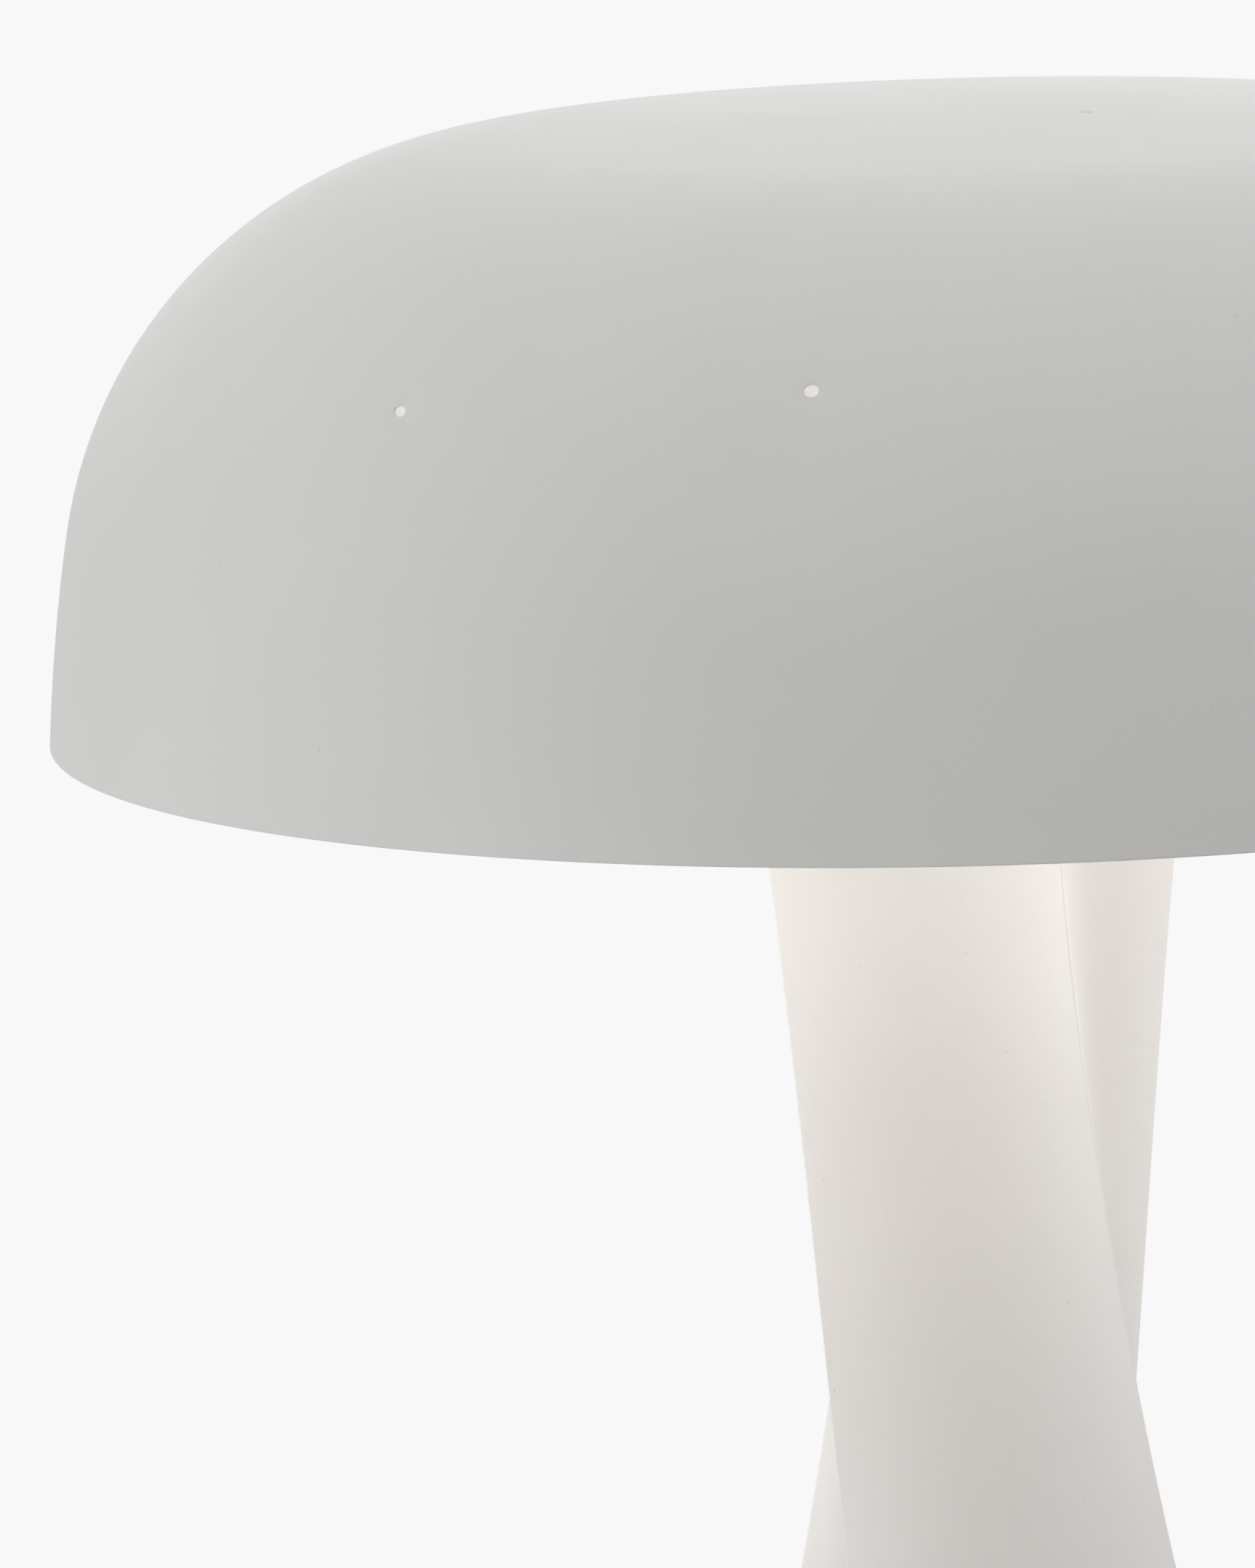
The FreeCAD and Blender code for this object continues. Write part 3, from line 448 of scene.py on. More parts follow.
class Wire:
    """One output of a shader node."""

    def __init__(self, tree, socket):
        self.tree = tree
        self.socket = socket

    def feed(self, target, sockets):
        """Set a node's sockets to constants or join them to wires."""
        for key, value in sockets.items():
            if isinstance(value, Wire):
                self.tree.links.new(value.socket, target.inputs[key])
            else:
                target.inputs[key].default_value = value

    def node(self, kind, settings, sockets, output=0):
        """Add a node of any kind with its settings and sockets, and return one of its outputs."""
        made = self.tree.nodes.new(kind)
        for key, value in settings.items():
            setattr(made, key, value)
        self.feed(made, sockets)
        return Wire(self.tree, made.outputs[output])

    def math(self, operation, first, second):
        """Result of an operation on two wires or numbers."""
        return self.node("ShaderNodeMath", {"operation": operation}, {0: first, 1: second})

    def __add__(self, other):
        return self.math("ADD", self, other)

    def __radd__(self, other):
        return self.math("ADD", other, self)

    def __sub__(self, other):
        return self.math("SUBTRACT", self, other)

    def __rsub__(self, other):
        return self.math("SUBTRACT", other, self)

    def __mul__(self, other):
        return self.math("MULTIPLY", self, other)

    def __rmul__(self, other):
        return self.math("MULTIPLY", other, self)

    def above(self, low, high):
        """Zero below a low value, one above a high one, and smooth in between."""
        return self.node("ShaderNodeMapRange", {"interpolation_type": "SMOOTHSTEP"},
                         {"Value": self, "From Min": low, "From Max": high})

    def noise(self, scale, detail):
        """Noise of so many waves in a metre, read at this place."""
        return self.node("ShaderNodeTexNoise", {}, {"Vector": self, "Scale": scale, "Detail": detail})

    def bump(self, strength, distance):
        """Normals of a surface that this wire raises."""
        return self.node("ShaderNodeBump", {},
                         {"Height": self, "Strength": strength, "Distance": distance})

    def mix(self, first, second):
        """Colour between two colours, with this wire as the share of the second."""
        colours = {0: self, 6: first, 7: second}
        return self.node("ShaderNodeMix", {"data_type": "RGBA"}, colours, output=2)


def new_material(name):
    """A material with its surface shader and the place on the object."""
    material = bpy.data.materials.new(name)
    material.use_nodes = True
    tree = material.node_tree
    surface = tree.nodes["Principled BSDF"]
    place = Wire(tree, tree.nodes.new("ShaderNodeTexCoord").outputs["Object"])
    return material, surface, place


print("shader arithmetic ready")

# %% [markdown]
# The shade and the stem have the same kind of matt powder coat. One flat colour would look like bare
# plastic from close by, so the coat has a fine grain that only shows in the light, faint clouds of tone
# and a few tiny dark specks. The stem's coat is warmer, and a painted shade darkens the middle of each
# hollow face, which an attribute of its mesh marks, so that the edges look lit. Noise is given in waves to
# the metre.

# %% Powder coat
GRAIN_WAVES, GRAIN_DETAIL = 2600.0, 3.0
GRAIN_BUMP = 0.25
GRAIN_SPREAD = 0.12
CLOUD_DETAIL = 3.0
CLOUD_START, CLOUD_FULL = 0.36, 0.66
SPECK_WAVES, SPECK_DETAIL = 700.0, 1.0
SPECK_EDGE = 0.04
SPECK_STRENGTH = 0.14
SPECK_COLOUR = (0.16, 0.14, 0.13, 1)
PAINT_SHINE = 0.08


def powder_coat(name, light, dark, roughness, grain_depth, cloud_size, specks, painted_face_shade=None):
    """Matt paint with fine grain, faint clouds, tiny specks and perhaps painted shade in hollow faces."""
    material, surface, place = new_material(name)
    grain = place.noise(GRAIN_WAVES, GRAIN_DETAIL)
    clouds = place.noise(1 / cloud_size, CLOUD_DETAIL).above(CLOUD_START, CLOUD_FULL)
    dust = place.noise(SPECK_WAVES, SPECK_DETAIL).above(specks, specks + SPECK_EDGE)
    tone_and_painted_shade = clouds.mix(light, dark)
    # Painted shade: the middle of each hollow face is darkened towards the given colour, so its edges look
    # lit.
    if painted_face_shade:
        middle = place.node("ShaderNodeAttribute", {"attribute_name": "painted_shade_share"}, {}, output=2)
        tone_and_painted_shade = middle.mix(tone_and_painted_shade, painted_face_shade)
    place.feed(surface, {
        "Base Color": (dust * SPECK_STRENGTH).mix(tone_and_painted_shade, SPECK_COLOUR),
        "Roughness": roughness + (grain - NOISE_MEAN) * GRAIN_SPREAD,
        "Normal": grain.bump(GRAIN_BUMP, grain_depth),
        "Specular IOR Level": PAINT_SHINE,
    })
    return material


shade_paint = powder_coat("shade_paint", (0.80, 0.795, 0.785, 1), (0.775, 0.77, 0.76, 1), roughness=0.75,
                          grain_depth=0.06 * MM, cloud_size=90 * MM, specks=0.80)
# The stem gets painted shade along the middle of each hollow face, and its paler colour stays at the
# edges.
stem_paint = powder_coat("stem_paint", (0.845, 0.83, 0.815, 1), (0.825, 0.80, 0.78, 1), roughness=0.70,
                         grain_depth=0.06 * MM, cloud_size=60 * MM, specks=0.78,
                         painted_face_shade=(0.735, 0.71, 0.69, 1))
carrier_paint = powder_coat("carrier_paint", (0.80, 0.79, 0.77, 1), (0.78, 0.77, 0.75, 1), roughness=0.40,
                            grain_depth=0.03 * MM, cloud_size=50 * MM, specks=0.82)
print("three powder coats")

# %% [markdown]
# The other finishes show only from below, from behind or with the shade lifted off: moulded plastic,
# felt, soft rubber, zinc-plated steel, brass and the bulb's rolled cap. They could all be flat colours,
# but one function gives the plain ones a faint grain in their roughness, so that highlights break up as
# on real pieces, and the felt has a tangle of fibres.

# %% Plain materials and felt
PLAIN_WAVES, PLAIN_DETAIL = 900.0, 2.0
PLAIN_SPREAD = 0.06
FIBRE_WAVES, FIBRE_DETAIL = 1800.0, 4.0
FIBRE_BUMP, FIBRE_DEPTH = 0.8, 0.4 * MM
FELT_DARK, FELT_PALE = (0.02, 0.02, 0.022, 1), (0.07, 0.07, 0.075, 1)
FELT_ROUGHNESS = 0.95


def plain(name, colour, roughness, metal=0.0):
    """A plain material whose roughness varies a little."""
    material, surface, place = new_material(name)
    grain = place.noise(PLAIN_WAVES, PLAIN_DETAIL)
    place.feed(surface, {"Base Color": colour, "Metallic": metal,
                         "Roughness": roughness + (grain - NOISE_MEAN) * PLAIN_SPREAD})
    return material


def felt_cloth():
    """Dark pressed felt with a tangle of fibres."""
    material, surface, place = new_material("felt")
    fibres = place.noise(FIBRE_WAVES, FIBRE_DETAIL)
    place.feed(surface, {"Base Color": fibres.mix(FELT_DARK, FELT_PALE), "Roughness": FELT_ROUGHNESS,
                         "Normal": fibres.bump(FIBRE_BUMP, FIBRE_DEPTH)})
    return material


felt = felt_cloth()
soft_rubber = plain("soft_rubber", (0.62, 0.60, 0.57, 1), 0.6)
bush_plastic = plain("bush_plastic", (0.78, 0.77, 0.75, 1), 0.5)
holder_plastic = plain("holder_plastic", (0.82, 0.81, 0.79, 1), 0.42)
zinc_steel = plain("zinc_steel", (0.62, 0.63, 0.62, 1), 0.38, metal=1.0)
brass = plain("contact_brass", (0.78, 0.58, 0.26, 1), 0.34, metal=1.0)
cap_metal = plain("cap_metal", (0.78, 0.78, 0.77, 1), 0.30, metal=1.0)
button_plastic = plain("button_plastic", (0.02, 0.02, 0.02, 1), 0.25)
bulb_plastic = plain("bulb_plastic", (0.84, 0.83, 0.81, 1), 0.40)
board_metal = plain("board_metal", (0.85, 0.85, 0.85, 1), 0.45)
print("felt, rubber, plastics and metals")

# %% [markdown]
# The bulb's globe is opal glass that glows all over. A lamp inside a translucent globe would look alike,
# but it takes long to render without noise, so the glass itself gives off light, a little weaker and
# warmer where it meets the housing.

# %% Opal glass
OPAL_COLOUR = (0.92, 0.90, 0.86, 1)
OPAL_ROUGHNESS = 0.3
LOW_GLOW, FULL_GLOW = (0.80, 0.73, 0.65, 1), (1.0, 0.96, 0.935, 1)
GLOW_RISE = 14.0
GLOW_STRENGTH = 21.0


def opal(name):
    """Warm glowing opal glass, a little weaker where it meets the housing."""
    material, surface, place = new_material(name)
    height = place.node("ShaderNodeSeparateXYZ", {}, {"Vector": place}, output=2)
    share = height.above(HOUSING_TOP * MM, (HOUSING_TOP + GLOW_RISE) * MM)
    place.feed(surface, {"Base Color": OPAL_COLOUR, "Roughness": OPAL_ROUGHNESS,
                         "Emission Color": share.mix(LOW_GLOW, FULL_GLOW),
                         "Emission Strength": GLOW_STRENGTH})
    return material


opal_glass = opal("opal_glass")
print("glowing opal glass")

# %% [markdown]
# The real shade is spun from one disc of sheet metal, and its lip is turned in at the rim. A squashed
# sphere would come close, but the outline is really three arcs that run into each other: the wall, the
# shoulder and the nearly flat crown. So the section is one line from the crown's outside over the rim to
# its inside.

# %% Shade section
# Steps on the wall, the shoulder and the crown, and the angle left open at the axis
ARC_STEPS = (14, 46, 34)
AXIS_GAP = 1e-4
# Bend at the rim: its height inside, and how far its outer corner lies out and its inner one in
INNER_BEND = 0.8
RIM_FLARE = 0.15
LIP_LEAN = 0.1


def dome_line(inset, low):
    """Points of the dome's outline from a height above the rim up to the axis, taken in by an inset."""
    rim = np.array((SHADE_RADIUS, 0.0))
    shoulder = np.array((SHOULDER_REACH, SHOULDER_HEIGHT))
    crown = np.array((0.0, SHADE_HEIGHT - CROWN_RADIUS))
    # The wall's arc starts at the rim and runs into the shoulder's arc, and this gives its centre
    span = shoulder - rim
    spread = np.linalg.norm(span)
    span /= spread
    along = (WALL_RADIUS**2 - (WALL_RADIUS - SHOULDER_RADIUS) ** 2 + spread**2) / (2 * spread)
    aside = math.sqrt(WALL_RADIUS**2 - along**2)
    wall = rim + span * along - np.array((span[1], -span[0])) * aside
    start = math.asin((low - wall[1]) / (WALL_RADIUS - inset))
    low_bend = math.atan2(*(shoulder - wall)[::-1])
    high_bend = math.atan2(*(shoulder - crown)[::-1])
    arcs = (
        (wall, WALL_RADIUS, start, low_bend),
        (shoulder, SHOULDER_RADIUS, low_bend, high_bend),
        (crown, CROWN_RADIUS, high_bend, math.pi / 2 - AXIS_GAP),
    )
    line = []
    for (centre, radius, first, last), steps in zip(arcs, ARC_STEPS):
        for angle in np.linspace(first, last, steps + 1)[(1 if line else 0):]:
            line.append(centre + (radius - inset) * np.array((math.cos(angle), math.sin(angle))))
    return line


outside = dome_line(0.0, LIP_ROUND)
inside = dome_line(SHEET, SHEET + INNER_BEND)
outer_edge, inner_edge = outside[0][0], inside[0][0]
lip_inner = SHADE_RADIUS - LIP
bend = rounded([
    (outer_edge, LIP_ROUND), (outer_edge + RIM_FLARE, 0.0), (lip_inner, 0.0), (lip_inner, SHEET),
    (inner_edge - LIP_LEAN, SHEET), (inner_edge, SHEET + INNER_BEND),
], LIP_ROUND, steps=5)
section = np.array([*outside[::-1], *bend[1:-1], *inside])
lengths = np.concatenate([[0], np.cumsum(np.linalg.norm(np.diff(section, axis=0), axis=1))])
print("section of the shade:", len(section), "points on", round(lengths[-1]), "mm")

# %% [markdown]
# The skin turns that section about the axis, and a fan of triangles closes it at each pole. The light
# holes go through both sides of the sheet. They could be dark and pale dots of paint, but real holes let
# the glow of the bulb out at any angle. Each has an eased edge outside. Those of the shoulder flare
# towards the inside, so that no thickness shows at their edges, and the crown's hole goes straight
# through.

# %% Shade with its light holes
# Radius of a hole's eased edge, and how much further out a flared hole ends inside
EASED = 0.3
FLARED = 1.1
SHADE_COLUMNS = 300
EASE_ANGLES = [math.radians(angle) for angle in (30, 60, 90)]


def shade_rule(across, along):
    """Point of the shade's skin for a part of a turn and a length along the section."""
    radius = np.interp(along, lengths, section[:, 0])
    height = np.interp(along, lengths, section[:, 1])
    angle = FULL_TURN * across
    return (radius * math.cos(angle), radius * math.sin(angle), RIM + height)


def place_along(radius, outer):
    """Length along the section where the outside, or the inside under it, has a radius."""
    line = section[:len(outside)] if outer else section[len(section) - len(inside):]
    part = lengths[:len(outside)] if outer else lengths[len(section) - len(inside):]
    order = np.argsort(line[:, 0])
    return float(np.interp(radius, line[order, 0], part[order]))


def hole_places():
    """Each hole's oval, its flare and its middle on the outside and the inside, as (across, along)."""
    places = []
    for (height, angle), oval in ((LOW_HOLE, SLANTED_HOLE), (HIGH_HOLE, ROUND_HOLE)):
        slope = math.asin((height - SHOULDER_HEIGHT) / SHOULDER_RADIUS)
        radii = [SHOULDER_REACH + (SHOULDER_RADIUS - inset) * math.cos(slope) for inset in (0.0, SHEET)]
        for group in range(HOLE_GROUPS):
            across = ((angle + 360 * group / HOLE_GROUPS) % 360) / 360
            middles = (across, place_along(radii[0], True)), (across, place_along(radii[1], False))
            places.append((oval, FLARED, *middles))
    reach, angle = CROWN_HOLE
    across = (angle % 360) / 360
    under = reach * (1 - SHEET / CROWN_RADIUS)
    middles = (across, place_along(reach, True)), (across, place_along(under, False))
    places.append((ROUND_HOLE, 0.0, *middles))
    return places


# The section runs the other way inside, so an oval leans the other way there
edges, flares = [], []
for (long, short, lean), flare, outer_place, inner_place in hole_places():
    edges.append((outer_place, (long + EASED, short + EASED, lean)))
    edges.append((inner_place, (long + flare, short + flare, -lean)))
    flares.append(flare)
columns = [k / SHADE_COLUMNS for k in range(SHADE_COLUMNS)]
points, faces, loops = skin(shade_rule, columns, list(lengths), edges)
for row in (0, len(lengths) - 1):
    ring = [row * SHADE_COLUMNS + k for k in range(SHADE_COLUMNS)]
    points.append((0, 0, points[ring[0]][2]))
    faces += [(ring[k], ring[(k + 1) % SHADE_COLUMNS], len(points) - 1) for k in range(SHADE_COLUMNS)]
for outer_loop, inner_loop, flare in zip(loops[0::2], loops[1::2], flares):
    outer_middle = np.mean([points[k] for k in outer_loop], axis=0)
    inner_middle = np.mean([points[k] for k in inner_loop], axis=0)
    through = (inner_middle - outer_middle) / np.linalg.norm(inner_middle - outer_middle)
    spokes = [np.array(points[k]) - outer_middle for k in outer_loop]
    rays = [spoke / np.linalg.norm(spoke) for spoke in spokes]
    last = outer_loop
    for angle in EASE_ANGLES:
        taken, depth = EASED * math.sin(angle), EASED * (1 - math.cos(angle))
        ring = list(range(len(points), len(points) + HOLE_STEPS))
        points += [tuple(outer_middle + spoke - ray * taken + through * depth)
                   for spoke, ray in zip(spokes, rays)]
        faces += tunnel(last, ring)
        last = ring
    ends = [inner_middle + spoke + ray * (flare - EASED) for spoke, ray in zip(spokes, rays)]
    faces += tunnel(last, [min(inner_loop, key=lambda k: np.linalg.norm(points[k] - end)) for end in ends])
piece("shade_dome", points, faces, shade_paint, "shade", ["shade"])

# %% [markdown]
# The real stem is a hollow casting. Its cross-section is a square with hollow sides that run into crisp
# corners; the side is least at the waist and grows by a parabola to the foot. A cube with pinched sides
# could be scaled along its height, but the inlet and the plates need the outline at any height, so it is
# a function.

# %% Stem section
# Share of each quarter's way that its corner takes, and the steps on corner and side
CORNER_SHARE = 0.12
CORNER_STEPS = 8
SIDE_STEPS = 26


def stem_side(height):
    """Side of the square at a height."""
    return WAIST_SIDE + (FOOT_SIDE - WAIST_SIDE) * ((height - WAIST) / (WAIST - FOOT_TOP)) ** 2


def stem_turn(height):
    """Clockwise turn of the square at a height, in radians."""
    share = height / TURN_HEIGHT
    return math.radians(STEM_TURN) * (3 * share**2 - 2 * share**3)


def square_point(across, side):
    """Point of the hollowed square for a part of its way round."""
    quarter = int(across * 4) % 4
    share = across * 4 - int(across * 4)
    half = side / 2
    inner = half - CORNER
    hollow_radius = inner**2 / (2 * FACE_HOLLOW) + FACE_HOLLOW / 2 - CORNER
    opening = math.asin(inner / (hollow_radius + CORNER))
    if share < CORNER_SHARE:
        angle = share / CORNER_SHARE * (math.pi / 2 + 2 * opening) - opening
        x, y = inner + CORNER * math.cos(angle), inner + CORNER * math.sin(angle)
    else:
        angle = opening * (1 - 2 * (share - CORNER_SHARE) / (1 - CORNER_SHARE))
        x = hollow_radius * math.sin(angle)
        y = half - FACE_HOLLOW + hollow_radius * (1 - math.cos(angle))
    for _ in range(quarter):
        x, y = -y, x
    return x, y


def square_steps():
    """Parts of the way round at which the square is sampled, closer at the corners."""
    one = [CORNER_SHARE * k / CORNER_STEPS for k in range(CORNER_STEPS)]
    one += [CORNER_SHARE + (1 - CORNER_SHARE) * k / SIDE_STEPS for k in range(SIDE_STEPS)]
    return [(quarter + share) / 4 for quarter in range(4) for share in one]


def turned(x, y, height):
    """A point of the straight stem, turned as the stem is at a height."""
    turn = -stem_turn(height)
    return x * math.cos(turn) - y * math.sin(turn), x * math.sin(turn) + y * math.cos(turn)


ways = square_steps()
print("each outline of the stem has", len(ways), "points")

# %% [markdown]
# A twist by Simple Deform would be even from end to end, but this stem's turn eases in and out. So the
# column is first made straight, as an outer and an inner skin with the cord's inlet through both, and the
# twist tree turns it by a smooth step of the height. An attribute marks the middle of each hollow face,
# where the paint lays a painted shade.

# %% Stem column
INLET_ACROSS = (CORNER_SHARE + (1 - CORNER_SHARE) / 2) / 4
INLET_HEIGHT = 26.0
INLET = (5.0, 5.0, 0.0)
INLET_LEAN = (FOOT_SIDE - WAIST_SIDE) * (WAIST - INLET_HEIGHT) / (WAIST - FOOT_TOP) ** 2
# Eased ends: how far they are taken in, over which height, and the rows there
END_EASE = 0.5
END_RISE = 0.6
END_ROWS = (0.0, 0.25, END_RISE)
FIRST_ROW = 2.5
OUTER_ROWS = 120
INNER_ROWS = 60


def straight_square(across, height, inset):
    """Point of the stem's square at a height, taken in by an inset, before it is turned."""
    return (*square_point(across, stem_side(height) - 2 * inset), height)


def turned_square(across, height, inset):
    """Point of the stem's square at a height, taken in by an inset and turned."""
    x, y, height = straight_square(across, height, inset)
    return (*turned(x, y, height), height)


def softened(height):
    """How far the skin is taken in near the stem's two ends, for an eased edge."""
    near = min(height - FOOT_TOP, STEM_TOP - height, END_RISE)
    return END_EASE * (1 - math.sqrt(max(0.0, 1 - (1 - near / END_RISE) ** 2)))


def painted_shade_share(x, y):
    """How much painted shade a point gets: one in the middle of a hollow face and zero at the corners."""
    return 1 - (min(abs(x), abs(y)) / max(abs(x), abs(y))) ** 2


heights = [FOOT_TOP + rise for rise in END_ROWS]
heights += list(np.linspace(FOOT_TOP + FIRST_ROW, STEM_TOP - FIRST_ROW, OUTER_ROWS))
heights += [STEM_TOP - rise for rise in reversed(END_ROWS)]
inner_heights = list(np.linspace(FOOT_TOP, STEM_TOP, INNER_ROWS))
outer_points, outer_faces, outer_loops = skin(
    lambda across, height: straight_square(across, height, softened(height)), ways, heights,
    [((INLET_ACROSS, INLET_HEIGHT), INLET)], lambda across, height: turned_square(across, height, 0.0))
inner_points, inner_faces, inner_loops = skin(
    lambda across, height: straight_square(across, height, STEM_WALL), ways, inner_heights,
    [((INLET_ACROSS, INLET_HEIGHT - STEM_WALL * INLET_LEAN), INLET)],
    lambda across, height: turned_square(across, height, STEM_WALL))
shift = len(outer_points)
points = outer_points + inner_points
faces = outer_faces + [[shift + k for k in face] for face in inner_faces]
faces += tunnel(outer_loops[0], [shift + k for k in inner_loops[0]])
for outer_row, inner_row in ((0, 0), (len(heights) - 1, INNER_ROWS - 1)):
    faces += tunnel([outer_row * len(ways) + k for k in range(len(ways))],
                    [shift + inner_row * len(ways) + k for k in range(len(ways))])
column = mesh_object("stem_column", points, faces)
# How much painted shade each point of the stem gets, most in the middle of a hollow face.
painted_shade_marks = column.data.attributes.new("painted_shade_share", "FLOAT", "POINT")
painted_shade_marks.data.foreach_set("value", [painted_shade_share(x, y) for x, y, height in points])
grown(column, twist, Turn=-math.radians(STEM_TURN), Height=TURN_HEIGHT * MM, Material=stem_paint)
dress(column, stem_paint, "stand", ["stem"])

# %% [markdown]
# Plates with the stem's outline close it below and above, and a felt sheet saves the table. They could be
# bevelled boxes, but their sides are hollow like the stem's, so each is a stack of outlines at its own
# inset and height, which also eases the edges.

# %% Plates and felt
FELT = 2.0
FELT_SIDE = FOOT_SIDE - 8.0
PLATE_SIDE = FOOT_SIDE - 3.0
PLATE_EASE = 0.8
SPIGOT_SIDE = FOOT_SIDE - 2 * STEM_WALL - 4.6
SPIGOT_TOP = FOOT_TOP + 4.0
LID_SIDE = stem_side(STEM_TOP) - 1.0
PLUG_SIDE = LID_SIDE - 14.0
PLUG_LOW = STEM_TOP - 3.0
THIN_EASE = 0.4
# Share of an ease by which the middle of its arc stays off each side
ARC_MIDDLE = 0.3


def stacked(layers, turn_height):
    """Solid from a stack of (side, height) outlines, all turned as the stem is at one height."""
    points = [(*turned(*square_point(way, side), turn_height), height)
              for side, height in layers for way in ways]
    return points, stack_faces(len(layers), len(ways))


def eased_block(side, low, high, ease):
    """Layers of a block with eased edges below and above."""
    layers = [(2 * ease, 0.0), (2 * ARC_MIDDLE * ease, ARC_MIDDLE * ease), (0.0, ease)]
    lower = [(side - narrower, low + rise) for narrower, rise in layers]
    return lower + [(side - narrower, high - rise) for narrower, rise in reversed(layers)]


spigot = [(SPIGOT_SIDE, FOOT_TOP), (SPIGOT_SIDE, SPIGOT_TOP)]
points, faces = stacked(eased_block(PLATE_SIDE, FELT, FOOT_TOP, PLATE_EASE) + spigot, FELT)
piece("foot_plate", points, faces, stem_paint, "stand", ["base_plate"])
points, faces = stacked(eased_block(FELT_SIDE, 0.0, FELT, THIN_EASE), 0.0)
piece("felt_sheet", points, faces, felt, "stand", ["base_pad"])
plug = [(PLUG_SIDE, PLUG_LOW), (PLUG_SIDE, STEM_TOP)]
points, faces = stacked(plug + eased_block(LID_SIDE, STEM_TOP, LID_TOP, THIN_EASE), STEM_TOP)
piece("stem_lid", points, faces, stem_paint, "stand", ["top_plate"])

# %% [markdown]
# A plastic bush with a flange lines the inlet in the back of the foot. Two cylinders with a hole cut
# through them would do, but one turned profile rounds the edges as well. Because the back face leans,
# the points are then moved to that spot and squared to the face. The flange just clears the hollow of
# the face.

# %% Cord bush
BUSH_FIT = 0.15
BUSH_BORE = 3.5
BUSH_BODY = INLET[0] - BUSH_FIT
BUSH_FLANGE = 7.0
BUSH_LIP = 2.0
BUSH_ROUND = 0.6
bush_back = -2 * STEM_WALL
bush_seat = BUSH_FIT + FACE_HOLLOW * (2 * BUSH_FLANGE / stem_side(INLET_HEIGHT)) ** 2
bush_front = bush_seat + BUSH_LIP
bush_line = rounded([
    (BUSH_BORE, bush_back), (BUSH_BODY, bush_back), (BUSH_BODY, bush_seat), (BUSH_FLANGE, bush_seat),
    (BUSH_FLANGE, bush_front), (BUSH_BORE, bush_front),
], BUSH_ROUND, closed=True)
points, faces = turned_ring(bush_line, steps=64)
spot = Vector(turned_square(INLET_ACROSS, INLET_HEIGHT, 0.0))
upright = Matrix.Rotation(-math.pi / 2 + math.atan(INLET_LEAN), 4, "X")
outward = Matrix.Rotation(-stem_turn(INLET_HEIGHT), 4, "Z") @ upright
points = placed(points, Matrix.Translation(spot) @ outward)
piece("cord_bush", points, faces, bush_plastic, "stand", ["cord_grommet"])

# %% [markdown]
# The shade rests on three bent rods with soft caps, which stand out of a turned hub. Each rod runs level
# out of the hub, bends and then points at the shade's shoulder. Three rods could be modelled, but one rod
# and one cap are made, and the repeat tree turns them about the axis, so that all three stay alike.

# %% Shade carrier
ARM_RADIUS = 2.0
ARM_BEND = 20.0
ARM_SLOPE = math.radians(38)
ARM_ROOT = 12.0
ARM_LEVEL = (LID_TOP + HUB_TOP) / 2
ARM_COUNT = 3
FIRST_ARM = math.pi / 2
BEND_STEPS = 16
ROD_STEPS = 20
PAD_GAP = 0.3
SEAT = SHOULDER_RADIUS - SHEET - PAD_GAP
CAP_RADIUS = 4.5
CAP_BORE = ARM_RADIUS + 0.02
CAP_LENGTH = 12.0
CAP_COVER = 2.5
CAP_ROUND = 1.2
HUB_RADIUS = 22.0
HUB_ROUND = 0.9


def arm_line():
    """Points of a rod's middle line as (across, height)."""
    centre = np.array((SHOULDER_REACH, RIM + SHOULDER_HEIGHT))
    along = np.array((math.cos(ARM_SLOPE), math.sin(ARM_SLOPE)))
    knee = centre[0] - (centre[1] - ARM_LEVEL) / math.tan(ARM_SLOPE) - ARM_BEND * math.tan(ARM_SLOPE / 2)
    line = [(ARM_ROOT, ARM_LEVEL)]
    for angle in np.linspace(0, ARM_SLOPE, BEND_STEPS + 1):
        line.append((knee + ARM_BEND * math.sin(angle), ARM_LEVEL + ARM_BEND * (1 - math.cos(angle))))
    line.append(tuple(centre + along * (SEAT - CAP_COVER)))
    return line


def rod(line, radius):
    """Round rod along a line in the XZ plane."""
    points = []
    slopes = np.gradient(np.array(line), axis=0)
    for (across, height), slope in zip(line, slopes):
        slope = slope / np.linalg.norm(slope)
        for step in range(ROD_STEPS):
            angle = FULL_TURN * step / ROD_STEPS
            side = radius * math.cos(angle)
            points.append((across - slope[1] * side, radius * math.sin(angle), height + slope[0] * side))
    return points, stack_faces(len(line), ROD_STEPS)


points, faces = rod(arm_line(), ARM_RADIUS)
arms = grown(mesh_object("carrier_rods", points, faces), about_axis, Copies=ARM_COUNT, First=FIRST_ARM,
             Material=carrier_paint)
dress(arms, carrier_paint, "stand", ["carrier_arm_1", "carrier_arm_2", "carrier_arm_3"])
cap_line = rounded([
    (0, 0), (CAP_RADIUS, 0), (CAP_RADIUS, -CAP_LENGTH), (CAP_BORE, -CAP_LENGTH), (CAP_BORE, -CAP_COVER),
    (0, -CAP_COVER),
], CAP_ROUND)
points, faces = lathe(cap_line, steps=40)
tip_reach = SHOULDER_REACH + SEAT * math.cos(ARM_SLOPE)
tip = Vector((tip_reach, 0, RIM + SHOULDER_HEIGHT + SEAT * math.sin(ARM_SLOPE)))
points = placed(points, Matrix.Translation(tip) @ Matrix.Rotation(math.pi / 2 - ARM_SLOPE, 4, "Y"))
caps = grown(mesh_object("rod_caps", points, faces), about_axis, Copies=ARM_COUNT, First=FIRST_ARM,
             Material=soft_rubber)
dress(caps, soft_rubber, "stand", ["arm_pad_1", "arm_pad_2", "arm_pad_3"])
